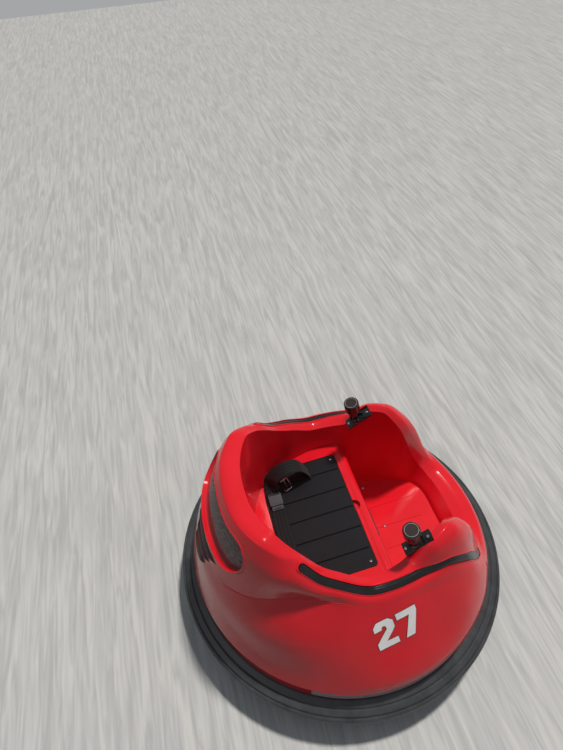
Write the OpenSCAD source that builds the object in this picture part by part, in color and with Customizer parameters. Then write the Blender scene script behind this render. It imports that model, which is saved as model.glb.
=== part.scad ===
// Toddler ride-on bumper car with two joysticks.
// +Z is up, the front faces -Y and +X is the car's left. The origin is on the floor
// under the centre of the bumper ring.

/* [Bumper ring] */
// Overall diameter of the rubber ring
ring_d = 740; // [640:5:900]
// Height of the ring's outer ridge above the floor
ridge_z = 80; // [76:1:90]
// Width of the ring from the body to its outer ridge
ring_w = 36; // [30:1:44]
// Height of the ring's underside above the floor
ring_z0 = 38; // [34:1:46]

/* [Body shell] */
// Height of the body's hem above the floor
hem_z = 101; // [100:1:110]
// Height of the flat band under the fender
band_h = 37; // [30:1:42]
// How far the fender stands out past the band
band_step = 2.5; // [1:0.5:4]
// Height of the footwell floor at the seat
floor_z = 98; // [94:1:106]
// Slope of the footwell floor, rising to the front
floor_tilt = 4; // [0:0.5:6]

/* [Seat] */
// Height of the seat panel's top at its front edge
seat_z = 243; // [225:1:255]
// Slope of the seat, falling to the rear
seat_tilt = 5; // [0:0.5:8]
// Width of the seat panel
panel_w = 282; // [240:1:290]
// Thickness of the seat panel
panel_t = 7; // [5:0.5:10]
// Distance of the panel's front edge ahead of the ring's centre
panel_front = 33; // [20:1:40]
// Distance of the panel's rear edge behind the ring's centre
panel_rear = 150; // [130:1:152]
// Radius of the panel's rear corners
panel_corner = 70; // [40:1:80]
// Width of the grooves pressed in the panel
groove_w = 3; // [2:0.5:5]
// Distance from one groove to the next
groove_gap = 50; // [40:1:54]
// Depth of the grooves
groove_d = 2; // [1:0.5:3]
// Distance of the seat box's front wall ahead of the ring's centre
box_front = 60; // [52:1:66]

/* [Drive wheels] */
// Diameter of a drive wheel's tyre
wheel_d = 140; // [130:1:150]
// Width of the tyre
wheel_w = 44; // [36:1:48]
// Distance between the middles of the two drive wheels
track = 384; // [376:1:400]
// Diameter of the fixed steel axle
axle_d = 10; // [8:0.5:14]
// Running clearance on radius between a wheel's bore and the axle
run_fit = 0.05; // [0.03:0.01:0.1]

/* [Castors] */
// Diameter of a castor wheel
castor_d = 44; // [38:1:48]
// Width of a castor wheel
castor_w = 18; // [14:1:22]
// Trail from the swivel axis to the castor wheel's axle
castor_trail = 15; // [10:1:18]
// Distance of the castors from the ring's centre
castor_y = 222; // [205:1:235]
// Diameter of the castor's axle pin
castor_pin_d = 5; // [4:0.5:7]
// Diameter of the castor's swivel stem
stem_d = 9; // [7:0.5:12]

/* [Joysticks] */
// Distance of a joystick from the car's middle line
stick_x = 157; // [150:1:162]
// Distance of a joystick's pivot ahead of the ring's centre
stick_front = 86; // [78:1:92]
// Height of the pivot above the floor
stick_z = 342; // [336:1:350]
// Diameter of the knob
knob_d = 33; // [26:1:38]
// Length of the knob
knob_len = 42; // [34:1:50]
// Length of the lever from its pivot to the knob's end
lever_len = 56; // [52:1:62]
// Rearward lean of the lever
lever_lean = 12; // [0:1:20]
// Diameter of the lever's rod
rod_d = 10; // [8:0.5:12]

/* [Trim] */
// Width of the black stripe along each arm
stripe_w = 11; // [8:0.5:14]
// Thickness of the stripe
stripe_t = 2.4; // [1.5:0.1:3]
// Height of the clear light strips
strip_h = 20; // [14:1:24]
// Half length of the rear lens
lens_half = 126; // [110:1:140]
// Height of the rear lens
lens_h = 80; // [60:1:84]
// Height of the lens's middle above the floor
lens_z = 368; // [350:1:372]

/* [Hidden] */
$fn = 64;

ring_r = ring_d / 2;
body_r = ring_r - ring_w;
gap = 0.3;
skirt_r = body_r - 8;
pan_z = ring_z0;
pan_t = 5;
body_z0 = pan_z + 16;
axle_z = wheel_d / 2;
well_side = 14;
well_top = 12;
bracket_x = wheel_w / 2 + 5.5;
bracket_t = 4;

// Sections of the body by the angle about the ring's centre, from the rear (0) to the front (180).
// Columns: angle, then radius and height of the fender's side, its shoulder, the crease above it,
// the wall's top corner, the stripe's line, the rim's crest and the rim's inner edge, and the
// radius of the cockpit wall's foot.
sections = [
    [  0, 320, 200, 311, 238, 299, 272, 258, 392, 243, 420, 226, 432, 196, 418, 174],
    [ 15, 320, 198, 310, 237, 298, 271, 258, 394, 244, 423, 228, 435, 198, 423, 173],
    [ 31, 320, 182, 306, 237, 283, 294, 255, 392, 240, 422, 224, 434, 200, 427, 172],
    [ 42, 321, 174, 300, 243, 259, 306, 249, 376, 229, 407, 216, 416, 197, 410, 169],
    [ 50, 322, 168, 293, 248, 243, 312, 239, 358, 211, 389, 203, 393, 191, 386, 165],
    [ 60, 324, 163, 289, 245, 229, 315, 225, 332, 206, 351, 198, 357, 186, 356, 158],
    [ 70, 325, 160, 285, 238, 219, 312, 213, 322, 206, 329, 195, 337, 181, 334, 152],
    [ 90, 328, 156, 285, 215, 226, 280, 217, 294, 209, 301, 195, 306, 180, 301, 147],
    [110, 329, 158, 286, 222, 238, 277, 227, 292, 219, 299, 199, 314, 181, 308, 146],
    [125, 329, 162, 300, 224, 266, 276, 252, 300, 243, 310, 210, 357, 192, 351, 164],
    [135, 330, 158, 308, 214, 287, 256, 275, 274, 268, 285, 218, 362, 202, 356, 184],
    [145, 331, 146, 315, 188, 304, 203, 298, 212, 292, 221, 229, 335, 211, 327, 203],
    [150, 332, 138, 318, 166, 309, 178, 305, 184, 300, 190, 240, 303, 221, 292, 215],
    [154, 332, 134, 321, 153, 314, 160, 311, 164, 306, 171, 272, 221, 246, 208, 229],
    [158, 333, 130, 323, 146, 317, 152, 313, 154, 310, 156, 296, 165, 267, 158, 240],
    [165, 333, 126, 325, 140, 319, 145, 315, 146, 312, 147, 298, 149, 272, 144, 246],
    [180, 333, 124, 326, 137, 320, 143, 317, 144, 314, 144, 300, 145, 270, 140, 241]];
last = len(sections) - 1;

// Smooth value of one column at an angle, with no overshoot between the rows
function fold(t) = let (u = abs(t) % 360) u > 180 ? 360 - u : u;
function secant(k, c) = (sections[k + 1][c] - sections[k][c]) / (sections[k + 1][0] - sections[k][0]);
function slope(k, c) = k == 0 || k == last ? 0
    : let (a = secant(k - 1, c), b = secant(k, c)) a * b <= 0 ? 0 : 2 * a * b / (a + b);
function row_at(t, k = 0) = k >= last - 1 || t <= sections[k + 1][0] ? k : row_at(t, k + 1);
function at(t, c) = let (u = fold(t), k = row_at(u), w = sections[k + 1][0] - sections[k][0],
        s = (u - sections[k][0]) / w)
    sections[k][c] * (1 - s) * (1 - s) * (1 + 2 * s) + sections[k + 1][c] * s * s * (3 - 2 * s)
    + w * (slope(k, c) * s * (1 - s) * (1 - s) - slope(k + 1, c) * s * s * (1 - s));

// A rounded line through the points of a profile
function unit(v) = v / norm(v);
function heading(p, i) = i == 0 ? unit(p[1] - p[0])
    : i == len(p) - 1 ? unit(p[i] - p[i - 1])
    : unit(unit(p[i] - p[i - 1]) + unit(p[i + 1] - p[i]));
function blend(a, da, b, db, s) = a * (1 - s) * (1 - s) * (1 + 2 * s) + b * s * s * (3 - 2 * s)
    + da * s * (1 - s) * (1 - s) - db * s * s * (1 - s);
function through(p, n) = [for (i = [0:len(p) - 2]) let (d = norm(p[i + 1] - p[i]))
    for (k = [0:n - 1]) blend(p[i], d * heading(p, i), p[i + 1], d * heading(p, i + 1), k / n),
    p[len(p) - 1]];

// The table's heights and radii follow the ring's size and the hem
function scaled_r(r) = r * body_r / 334;
function lift(z) = z + hem_z - 101;
function key(t) = [for (c = [1:2:13]) [scaled_r(at(t, c)), lift(at(t, c + 1))]];
function band_top(t) = hem_z + min(band_h, 0.62 * (lift(at(t, 2)) - hem_z));
// The surface runs smoothly up to the crease, and smoothly again from there over the rim
function outer(t) = let (k = key(t), low = through([[body_r, band_top(t) + band_step], k[0], k[1], k[2]], 3))
    concat([[body_r - band_step, band_top(t)]], [for (i = [0:len(low) - 2]) low[i]],
        through([k[2], k[3], k[4], k[5], k[6]], 3));
function foot(t) = scaled_r(at(t, 15));
function profile(t) = concat([[skirt_r, body_z0], [skirt_r, hem_z], [body_r - band_step, hem_z]],
    outer(t), [[foot(t) + 5, floor_z + 22], [foot(t), floor_z + 8], [foot(t) - 9, floor_z]]);

module polar_loft(rings, top, bottom) {
    n = len(rings);
    m = len(rings[0]);
    points = concat([for (i = [0:n - 1]) for (q = rings[i])
        [q[0] * sin(360 * i / n), q[0] * cos(360 * i / n), q[1]]], [[0, 0, bottom], [0, 0, top]]);
    faces = [for (i = [0:n - 1]) let (a = i * m, b = (i + 1) % n * m)
        each concat([[n * m, b, a], [n * m + 1, a + m - 1, b + m - 1]],
            [for (j = [0:m - 2]) each [[a + j, b + j, a + j + 1], [b + j, b + j + 1, a + j + 1]]])];
    polyhedron(points, faces, convexity = 10);
}
body_steps = 90;
module body_loft() {
    polar_loft([for (i = [0:body_steps - 1]) profile(360 * i / body_steps)], floor_z, body_z0);
}

// Point and outward normal on the line of the stripe
function on_stripe(t) = let (r = scaled_r(at(t, 9)), z = lift(at(t, 10))) [r * sin(t), r * cos(t), z];
function stripe_normal(t) = let (p = key(t), a = unit(p[5] - p[4]), b = unit(p[4] - p[3]),
        d = unit(a + b), around = unit(on_stripe(t + 1) - on_stripe(t - 1)),
        up = [d[0] * sin(t), d[0] * cos(t), d[1]])
    unit(cross(up, around));
stripe_from = 50;
stripe_to = 151;
stripe_step = 3;
// A band that follows the line of the stripe, from low to high along the normal
module stripe_band(w, low, high, a, b) {
    n = floor((b - a) / stripe_step);
    points = [for (i = [0:n]) let (t = a + (b - a) * i / n, p = on_stripe(t), nn = stripe_normal(t),
            along = unit(on_stripe(t + 1) - on_stripe(t - 1)), side = unit(cross(nn, along)))
        each [for (q = [[-1, low], [1, low], [1, high], [-1, high]]) p + side * w / 2 * q[0] + nn * q[1]]];
    faces = concat([[0, 1, 2, 3], [4 * n + 3, 4 * n + 2, 4 * n + 1, 4 * n]],
        [for (i = [0:n - 1]) for (j = [0:3]) let (k = (j + 1) % 4)
            each [[4 * i + j, 4 * i + 4 + j, 4 * i + k], [4 * i + k, 4 * i + 4 + j, 4 * i + 4 + k]]]);
    polyhedron(points, faces, convexity = 6);
}

// Outline of the seat panel, seen from above
panel_nose = 8;
module panel_outline(grow = 0) {
    w = panel_w / 2 + grow;
    c = panel_corner + grow;
    hull() {
        for (s = [-1, 1]) translate([s * (w - c), panel_rear + grow - c]) circle(c);
        for (s = [-1, 1]) translate([s * (w - panel_nose), panel_nose - panel_front - grow])
            circle(panel_nose);
    }
}
// Places children in the seat's sloping plane, with its origin at the panel's front edge
module in_seat() {
    translate([0, -panel_front, seat_z]) rotate([-seat_tilt, 0, 0]) translate([0, panel_front, 0]) children();
}
// Lean of the box's front wall, and the radius of the ridge along its top
box_rake = 6;
ridge_r = 14;
module seat_box() {
    intersection() {
        translate([0, 0, body_z0]) linear_extrude(seat_z)
            polygon([for (t = [-180:6:174]) scaled_r(at(t, 13)) * [sin(t), cos(t)]]);
        rotate([90, 0, 90]) linear_extrude(2 * ring_r, center = true) {
            polygon([[-box_front - box_rake, body_z0], [-box_front, seat_z - ridge_r],
                [-box_front + ridge_r, seat_z], [-panel_front, seat_z],
                [ring_r, seat_z - (ring_r + panel_front) * tan(seat_tilt)], [ring_r, body_z0]]);
            translate([-box_front + ridge_r - 1, seat_z - ridge_r + 2]) circle(ridge_r);
        }
    }
}
module footwell_floor() {
    intersection() {
        translate([0, 0, body_z0]) linear_extrude(200) polygon([for (t = [-180:6:174])
            (foot(t) + 6) * [sin(t), cos(t)]]);
        translate([0, -box_front, floor_z]) rotate([-floor_tilt, 0, 0])
            translate([-ring_r, -ring_r, -30]) cube([2 * ring_r, ring_r + 20, 30]);
    }
}
module side_wheel_well() {
    well_w = wheel_w + 2 * well_side;
    translate([track / 2, 0, axle_z]) rotate([0, 90, 0])
        cylinder(h = well_w, r = wheel_d / 2 + well_top, center = true);
    translate([track / 2, 0, axle_z / 2])
        cube([well_w, wheel_d + 2 * well_top, axle_z], center = true);
}
// The rear pieces are cut from the outer wall behind this distance from the ring's centre
rear_from = 200;
module lens_outline(grow = 0) {
    translate([0, rear_from, 0]) rotate([-90, 0, 0]) linear_extrude(ring_r) translate([0, -lens_z]) hull()
        for (s = [-1, 1]) translate([s * (lens_half - lens_h / 2), 0]) circle(lens_h / 2 + grow);
}
// The layer of the rear wall between two depths under its surface
module skin(from, to) {
    difference() {
        rear_block(from);
        rear_block(to);
    }
}
rear_half = 44;
rear_step = 4;
rear_core = 150;
crest_row = 19;
// The rear of the body as a solid, out to a depth under the wall's surface
module rear_block(depth) {
    rings = [for (t = [-rear_half:rear_step:rear_half]) let (o = outer(t))
        concat([[rear_core, o[0][1]]], [for (k = [0:crest_row]) [o[k][0] - depth, o[k][1]]],
            [[rear_core, o[crest_row][1]]])];
    n = len(rings);
    m = len(rings[0]);
    points = [for (i = [0:n - 1]) let (t = i * rear_step - rear_half) for (q = rings[i])
        [q[0] * sin(t), q[0] * cos(t), q[1]]];
    faces = concat([[for (j = [0:m - 1]) j], [for (j = [m - 1:-1:0]) (n - 1) * m + j]],
        [for (i = [0:n - 2]) for (j = [0:m - 1]) let (a = i * m + j, b = i * m + (j + 1) % m)
            each [[a, a + m, b], [b, a + m, b + m]]]);
    polyhedron(points, faces, convexity = 10);
}
// A disc whose edge passes through (-half, 0), (0, rise) and (half, 0)
module arc_disc(half, rise) {
    r = (half * half + rise * rise) / (2 * rise);
    translate([0, rise - r]) circle(r, $fn = 300);
}
// The rear claws, each a crescent. Columns: half length, thickness, height of the tips.
claws = [[80, 11, 292], [57, 10, 264], [45, 8, 242]];
claw_arch = 2;
claw_tip = 3;
module claw_shapes(grow = 0) {
    translate([0, rear_from, 0]) rotate([90, 0, 180]) linear_extrude(ring_r)
        for (c = claws) translate([0, c[2] - grow]) intersection() {
            difference() {
                arc_disc(c[0] + 4 * grow, claw_arch + c[1] + 2 * grow);
                arc_disc(c[0] + 4 * grow, claw_arch);
            }
            square([2 * (c[0] - claw_tip + grow), 100], center = true);
        }
}
module body_shell() {
    color("#d8151d") difference() {
        union() {
            body_loft();
            seat_box();
            footwell_floor();
        }
        for (s = [0, 1]) mirror([s, 0, 0]) {
            side_wheel_well();
            stripe_band(stripe_w + 2 * gap, -stripe_t, 20, stripe_from - 0.4, stripe_to + 0.4);
        }
        difference() {
            claw_shapes(gap);
            rear_block(claw_depth);
        }
        under_pockets();
        difference() {
            lens_outline(gap);
            rear_block(reflector_depth);
        }
        for (s = [0, 1]) mirror([s, 0, 0]) light_strip(gap);
        in_seat() translate([0, 0, -panel_t]) linear_extrude(60) panel_outline(gap);
        in_seat() translate([0, -panel_front, -notch_depth]) cylinder(h = 60, r = notch_r);
        for (k = [-1:1]) floor_groove(k * floor_groove_gap);
        in_control() translate([-plate_w / 2, -20, -plate_h / 2]) cube([plate_w, 20, plate_h]);
        for (s = [0, 1]) mirror([s, 0, 0]) in_stick() rotate([-stick_slope, 0, 0])
            translate([-base_w / 2 - gap, -base_front - gap, -base_drop])
                cube([base_w + 2 * gap, base_front + base_rear + 2 * gap, 60]);
    }
}
claw_depth = 4;
reflector_depth = 14;
// Finger notch in the seat's front ridge, for lifting the panel out
notch_r = 13;
notch_depth = 9;
// Shallow grooves along the footwell floor
floor_groove_gap = 55;
module floor_groove(x) {
    translate([x, -box_front, floor_z]) rotate([-floor_tilt, 0, 0])
        translate([-groove_w / 2, -150, -1]) cube([groove_w, 140, 10]);
}
plate_w = 64;
plate_h = 34;
plate_t = 6;
plate_x = -42;
plate_z = seat_z - 32;
// Places children on the floor of the control plate's recess, with -Y outwards
module in_control() { translate([plate_x, -box_front + 2, plate_z]) children(); }
// The bay under the seat for the battery, gearboxes and motors
bay_front = 36;
bay_rear = 140;
pocket_h = 205;
module under_pockets() {
    translate([-track / 2 + wheel_w / 2, -bay_front, 0])
        cube([track - wheel_w, bay_front + bay_rear, pocket_h]);
    for (s = [-1, 1]) translate([0, s * castor_at, 0])
        cylinder(h = castor_top + mount_t + 2 + gap, r = castor_well + mount_rim + 1 + gap);
}

// Ribs along the ring's sloping top. Columns: distance in from the outer ridge, height above it.
ring_ribs = [[1.5, 6], [6, 9], [8, 7], [10, 11], [20, 15], [22, 13], [24, 16.5]];
module bumper_ring() {
    color("#2b2d30") rotate_extrude($fn = 128) polygon(concat(
        [[skirt_r + gap, ring_z0 + 8], [skirt_r + 12, ring_z0], [ring_r - 16, ring_z0 + 3],
            [ring_r - 5, ring_z0 + 18], [ring_r - 2, ridge_z - 9], [ring_r, ridge_z]],
        [for (p = ring_ribs) [ring_r - p[0], ridge_z + p[1]]],
        [[body_r + 1, hem_z - gap], [skirt_r + gap, hem_z - gap]]));
}
strip_from = 62;
strip_to = 132;
strip_t = 4.2;
module light_strip(grow) {
    rotate([0, 0, 90 - strip_to - grow / 3])
        rotate_extrude(angle = strip_to - strip_from + grow / 1.5, $fn = 128)
            translate([body_r - band_step - strip_t + 1 - grow, hem_z + 6 - grow])
                square([strip_t + 10 * grow, strip_h + 2 * grow]);
}
module left_light_strip() { color("#d8dcde") light_strip(0); }
module right_light_strip() { color("#d8dcde") mirror([1, 0, 0]) light_strip(0); }

module left_stripe() { color("#101113") stripe_band(stripe_w, gap - stripe_t, 0.4, stripe_from, stripe_to); }
module right_stripe() { color("#101113") mirror([1, 0, 0]) left_stripe(); }
module rear_claws() {
    color("#101113") intersection() {
        claw_shapes();
        skin(1, claw_depth - gap);
    }
}
module rear_lens() {
    color("#7d7476") intersection() {
        lens_outline();
        skin(lens_depth, lens_depth + lens_t);
    }
}
module lens_reflector() {
    color("#3a1416") intersection() {
        lens_outline();
        skin(reflector_depth - 4, reflector_depth - gap);
    }
}
lens_depth = 2.5;
lens_t = 3;

// The grooves stop this far short of the panel's front and rear edges
groove_end = 4;
module seat_panel() {
    color("#2d2f32") in_seat() difference() {
        translate([0, 0, gap - panel_t]) linear_extrude(panel_t - gap) panel_outline();
        for (k = [-2:2]) translate([k * groove_gap - groove_w / 2, groove_end - panel_front, -groove_d])
            cube([groove_w, panel_front + panel_rear - 2 * groove_end, 10]);
    }
}
switch_w = 21;
switch_h = 15;
socket_d = 5.5;
socket_x = 16;
module control_panel() {
    color("#1b1c1e") in_control() difference() {
        translate([-plate_w / 2 + gap, -plate_t, -plate_h / 2 + gap])
            cube([plate_w - 2 * gap, plate_t, plate_h - 2 * gap]);
        translate([-socket_x, -plate_t, 0]) cube([switch_w, 20, switch_h], center = true);
        translate([socket_x, 1, 0]) rotate([90, 0, 0]) cylinder(h = 20, d = 12);
    }
}
module power_switch() {
    color("#141416") in_control() translate([-socket_x, -plate_t / 2 - 1.5, 0])
        cube([switch_w - 2 * gap, plate_t + 3, switch_h - 2 * gap], center = true);
}
module charge_socket() {
    color("#b9bcc0") in_control() translate([socket_x, 0, 0]) rotate([90, 0, 0]) difference() {
        cylinder(h = plate_t + 2, d = 12 - 2 * gap);
        translate([0, 0, 2]) cylinder(h = 20, d = socket_d);
    }
}
// The belt lies folded on the seat: one strap stands up in a loop beside the buckle
strap_w = 36;
strap_t = 2;
belt_y = 118;
loop_r = 44;
loop_rise = 1.25;
buckle_l = 42;
buckle_w = 32;
buckle_h = 9;
buckle_x = 39;
module strap_left() {
    color("#17181a") in_seat() translate([106, 84, gap]) rotate([90, 0, 97])
        linear_extrude(strap_w, center = true) scale([1, loop_rise]) difference() {
            circle(loop_r);
            circle(loop_r - strap_t);
            translate([-loop_r, -2 * loop_r]) square([2 * loop_r, 2 * loop_r]);
        }
}
module strap_right() {
    color("#17181a") in_seat() translate([buckle_x - 1 - 110, belt_y - 4, gap]) cube([110, 32, strap_t]);
}
module belt_buckle() {
    color("#232427") in_seat() translate([buckle_x, belt_y - 6, gap]) cube([buckle_l, buckle_w, buckle_h]);
}

battery_size = [100, 70, 95];
battery_y = 48;
module battery() {
    color("#33363a") translate([-battery_size[0] / 2, battery_y, pan_z + pan_t]) cube(battery_size);
}
module drive_axle() {
    color("#b4b7ba") translate([0, 0, axle_z]) rotate([0, 90, 0])
        cylinder(h = track + 2 * (bracket_x + bracket_t + 2), d = axle_d, center = true);
}
gear_w = 44;
gear_lift = 0.5;
gear_d = 2 * (axle_z - pan_z - pan_t - gear_lift);
motor_d = 36;
motor_up = 34;
motor_back = 10;
motor_reach = 14;
module gearbox() {
    x = track / 2 - bracket_x - bracket_t - 2 - gear_w;
    color("#3a3c40") difference() {
        union() {
            translate([x, 0, axle_z]) rotate([0, 90, 0]) cylinder(h = gear_w, d = gear_d);
            translate([x, -gear_d / 2, pan_z + pan_t]) cube([gear_w, gear_d, axle_z - pan_z - pan_t]);
            translate([x - motor_reach, motor_back, axle_z + motor_up]) rotate([0, 90, 0])
                cylinder(h = gear_w, d = motor_d);
        }
        translate([0, 0, axle_z]) rotate([0, 90, 0]) cylinder(h = track, d = axle_d + 2 * gap);
    }
}
module left_gearbox() { gearbox(); }
module right_gearbox() { mirror([1, 0, 0]) gearbox(); }

hub_bore = axle_d + 2 * run_fit;
module wheel_hub() {
    color("#5a5d61") translate([track / 2, 0, axle_z]) rotate([0, 90, 0]) difference() {
        union() {
            cylinder(h = wheel_w + 4, d = 30, center = true);
            difference() {
                cylinder(h = wheel_w - 2, d = wheel_d - 22, center = true);
                for (s = [-1, 1]) translate([0, 0, s * wheel_w / 2])
                    cylinder(h = wheel_w - 12, d = wheel_d - 34, center = true);
            }
        }
        cylinder(h = 100, d = hub_bore, center = true);
    }
}
tread_t = 11 - 0.02;
module tyre() {
    r = wheel_d / 2;
    w = wheel_w / 2;
    color("#1c1d1f") translate([track / 2, 0, axle_z]) rotate([0, 90, 0]) rotate_extrude($fn = 96)
        polygon([[r - tread_t, -w + 1], [r - 4, -w], [r - 1, -w + 3], [r, -w + 7], [r, w - 7],
            [r - 1, w - 3], [r - 4, w], [r - tread_t, w - 1]]);
}
module left_wheel() { wheel_hub(); }
module right_wheel() { mirror([1, 0, 0]) wheel_hub(); }
module left_tyre() { tyre(); }
module right_tyre() { mirror([1, 0, 0]) tyre(); }

castor_at = scaled_r(castor_y);
castor_well = castor_trail + castor_d / 2 + 7;
fork_z = castor_d + 5;
fork_t = 4;
castor_top = fork_z + fork_t + 2;
mount_t = 6;
mount_rim = 5;
cheek_t = 3;
cheek_w = 16;
cheek_x = castor_w / 2 + 1 + cheek_t / 2;
module castor_mount() {
    color("#2a2c2f") difference() {
        union() {
            translate([0, 0, castor_top]) cylinder(h = mount_t, r = castor_well + mount_rim);
            translate([0, 0, pan_z + pan_t])
                cylinder(h = castor_top - pan_z - pan_t + 1, r = castor_well + mount_rim);
        }
        cylinder(h = castor_top, r = castor_well);
        cylinder(h = 200, d = stem_d + 2 * run_fit);
    }
}
module front_castor_mount() { translate([0, -castor_at, 0]) castor_mount(); }
module rear_castor_mount() { translate([0, castor_at, 0]) castor_mount(); }
module fork() {
    color("#8e9296") {
        translate([0, 0, fork_z]) cylinder(h = fork_t, r = castor_w / 2 + 6);
        translate([0, 0, fork_z]) cylinder(h = castor_top + mount_t - fork_z, d = stem_d);
        for (s = [-1, 1]) translate([s * cheek_x, castor_trail, castor_d / 2]) rotate([0, 90, 0])
            cylinder(h = cheek_t, d = cheek_w, center = true);
        for (s = [-1, 1]) translate([s * cheek_x, 0, 0]) rotate([90, 0, 90])
            linear_extrude(cheek_t, center = true) polygon([[-cheek_w / 2, fork_z + 1],
                [castor_trail - cheek_w / 2, castor_d / 2], [castor_trail + cheek_w / 2, castor_d / 2],
                [castor_trail + 2, fork_z + 1]]);
        translate([0, castor_trail, castor_d / 2]) rotate([0, 90, 0])
            cylinder(h = 2 * (cheek_x + cheek_t) + 1, d = castor_pin_d, center = true);
    }
}
module front_fork() { translate([0, -castor_at, 0]) fork(); }
module rear_fork() { translate([0, castor_at, 0]) fork(); }
module castor_wheel() {
    color("#1c1d1f") translate([0, castor_trail, castor_d / 2]) rotate([0, 90, 0]) difference() {
        cylinder(h = castor_w, d = castor_d, center = true);
        cylinder(h = 100, d = castor_pin_d + 2 * run_fit, center = true);
    }
}
module front_castor_wheel() { translate([0, -castor_at, 0]) castor_wheel(); }
module rear_castor_wheel() { translate([0, castor_at, 0]) castor_wheel(); }

module chassis_pan() {
    color("#2a2c2f") difference() {
        union() {
            difference() {
                union() {
                    translate([0, 0, pan_z]) cylinder(h = pan_t, r = skirt_r - 2, $fn = 128);
                    translate([0, 0, pan_z]) difference() {
                        cylinder(h = body_z0 - pan_z, r = skirt_r - 2, $fn = 128);
                        cylinder(h = 100, r = skirt_r - 8, $fn = 128);
                    }
                }
                for (s = [-1, 1]) {
                    translate([s * track / 2, 0, 0])
                        cube([2 * bracket_x - 1, wheel_d + 20, 200], center = true);
                    translate([0, s * castor_at, 0]) cylinder(h = 200, r = castor_well);
                }
            }
            for (s = [-1, 1]) for (x = [-bracket_x - bracket_t, bracket_x])
                translate([s * track / 2 + x, -14, pan_z]) cube([bracket_t, 28, axle_z - pan_z + 10]);
        }
        translate([0, 0, axle_z]) rotate([0, 90, 0]) cylinder(h = 2 * ring_r, d = axle_d, center = true);
    }
}

stick_slope = 33;
base_w = 26;
base_front = 36;
base_rear = 26;
base_t = 5;
base_drop = 13;
boss_d = 25;
pivot_d = 4;
// The sticks keep their place on the body's arms
module in_stick() { translate([scaled_r(stick_x), -scaled_r(stick_front), lift(stick_z)]) children(); }
module stick_base() {
    color("#151618") in_stick() difference() {
        rotate([-stick_slope, 0, 0]) {
            translate([-base_w / 2, -base_front, -base_drop]) cube([base_w, base_front + base_rear, base_t]);
            translate([0, 0, -base_drop]) cylinder(h = base_drop + 3, d = boss_d);
        }
        rotate([-lever_lean, 0, 0]) translate([-rod_d / 2 - 1, -20, -8]) cube([rod_d + 2, 40, 60]);
        rotate([0, 90, 0]) cylinder(h = 60, d = pivot_d, center = true);
    }
}
module left_stick_base() { stick_base(); }
module right_stick_base() { mirror([1, 0, 0]) stick_base(); }
rod_grip = 6;
lever_eye = 13;
module lever() {
    color("#1d1e20") in_stick() rotate([-lever_lean, 0, 0]) {
        cylinder(h = lever_len - knob_len + rod_grip, d = rod_d);
        rotate([0, 90, 0]) cylinder(h = rod_d, d = lever_eye, center = true);
        rotate([0, 90, 0]) cylinder(h = boss_d - 4, d = pivot_d - 2 * run_fit, center = true);
    }
}
// The knob: a round head, dished on top, over a slimmer neck
head_len = 25;
neck_d = 23;
head_edge = 4;
dish_d = 24;
module knob() {
    r = knob_d / 2;
    under = lever_len - head_len;
    color("#26272a") in_stick() rotate([-lever_lean, 0, 0]) difference() {
        rotate_extrude() polygon([[0, lever_len - knob_len], [neck_d / 2, lever_len - knob_len],
            [neck_d / 2, under - head_edge], [r - 1, under], [r, under + 2], [r, lever_len - head_edge],
            [r - 0.3 * head_edge, lever_len - 0.3 * head_edge], [dish_d / 2 + 1, lever_len],
            [dish_d / 2, lever_len - 1], [0, lever_len - 1]]);
        cylinder(h = lever_len - knob_len + rod_grip, d = rod_d);
    }
}
module left_lever() { lever(); }
module right_lever() { mirror([1, 0, 0]) lever(); }
module left_knob() { knob(); }
module right_knob() { mirror([1, 0, 0]) knob(); }

body_shell();
chassis_pan();
bumper_ring();
left_light_strip();
right_light_strip();
left_stripe();
right_stripe();
rear_claws();
rear_lens();
lens_reflector();
seat_panel();
control_panel();
power_switch();
charge_socket();
strap_left();
strap_right();
belt_buckle();
battery();
drive_axle();
left_gearbox();
right_gearbox();
left_stick_base();
right_stick_base();
left_lever();
right_lever();
left_knob();
right_knob();
left_wheel();
right_wheel();
left_tyre();
right_tyre();
front_castor_mount();
rear_castor_mount();
front_fork();
rear_fork();
front_castor_wheel();
rear_castor_wheel();
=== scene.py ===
from math import cos, hypot, pi, radians, sin, sqrt, tan

import bmesh
import bpy
from mathutils import Matrix, Vector
from mathutils.bvhtree import BVHTree


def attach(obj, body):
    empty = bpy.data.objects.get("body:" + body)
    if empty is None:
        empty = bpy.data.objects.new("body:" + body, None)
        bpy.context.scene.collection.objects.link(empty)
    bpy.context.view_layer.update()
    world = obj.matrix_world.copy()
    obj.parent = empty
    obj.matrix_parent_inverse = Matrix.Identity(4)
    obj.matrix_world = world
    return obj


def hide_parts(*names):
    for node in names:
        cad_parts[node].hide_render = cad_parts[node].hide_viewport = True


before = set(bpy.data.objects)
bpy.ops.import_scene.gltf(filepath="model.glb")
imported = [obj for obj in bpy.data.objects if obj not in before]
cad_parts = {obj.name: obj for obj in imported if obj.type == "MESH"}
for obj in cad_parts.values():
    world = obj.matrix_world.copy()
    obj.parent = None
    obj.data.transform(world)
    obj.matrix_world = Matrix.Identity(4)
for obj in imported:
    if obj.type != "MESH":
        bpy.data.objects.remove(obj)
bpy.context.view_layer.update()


# Camera, floor and lamps: a pale play floor under soft studio light, with the brighter side
# ahead of the car, as on the day. The view is the photograph's, from behind the right shoulder.
def show(name, data):
    """A new object in the scene."""
    made = bpy.data.objects.new(name, data)
    bpy.context.scene.collection.objects.link(made)
    return made


def rotation(angle, axis):
    return Matrix.Rotation(radians(angle), 4, axis)


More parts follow.
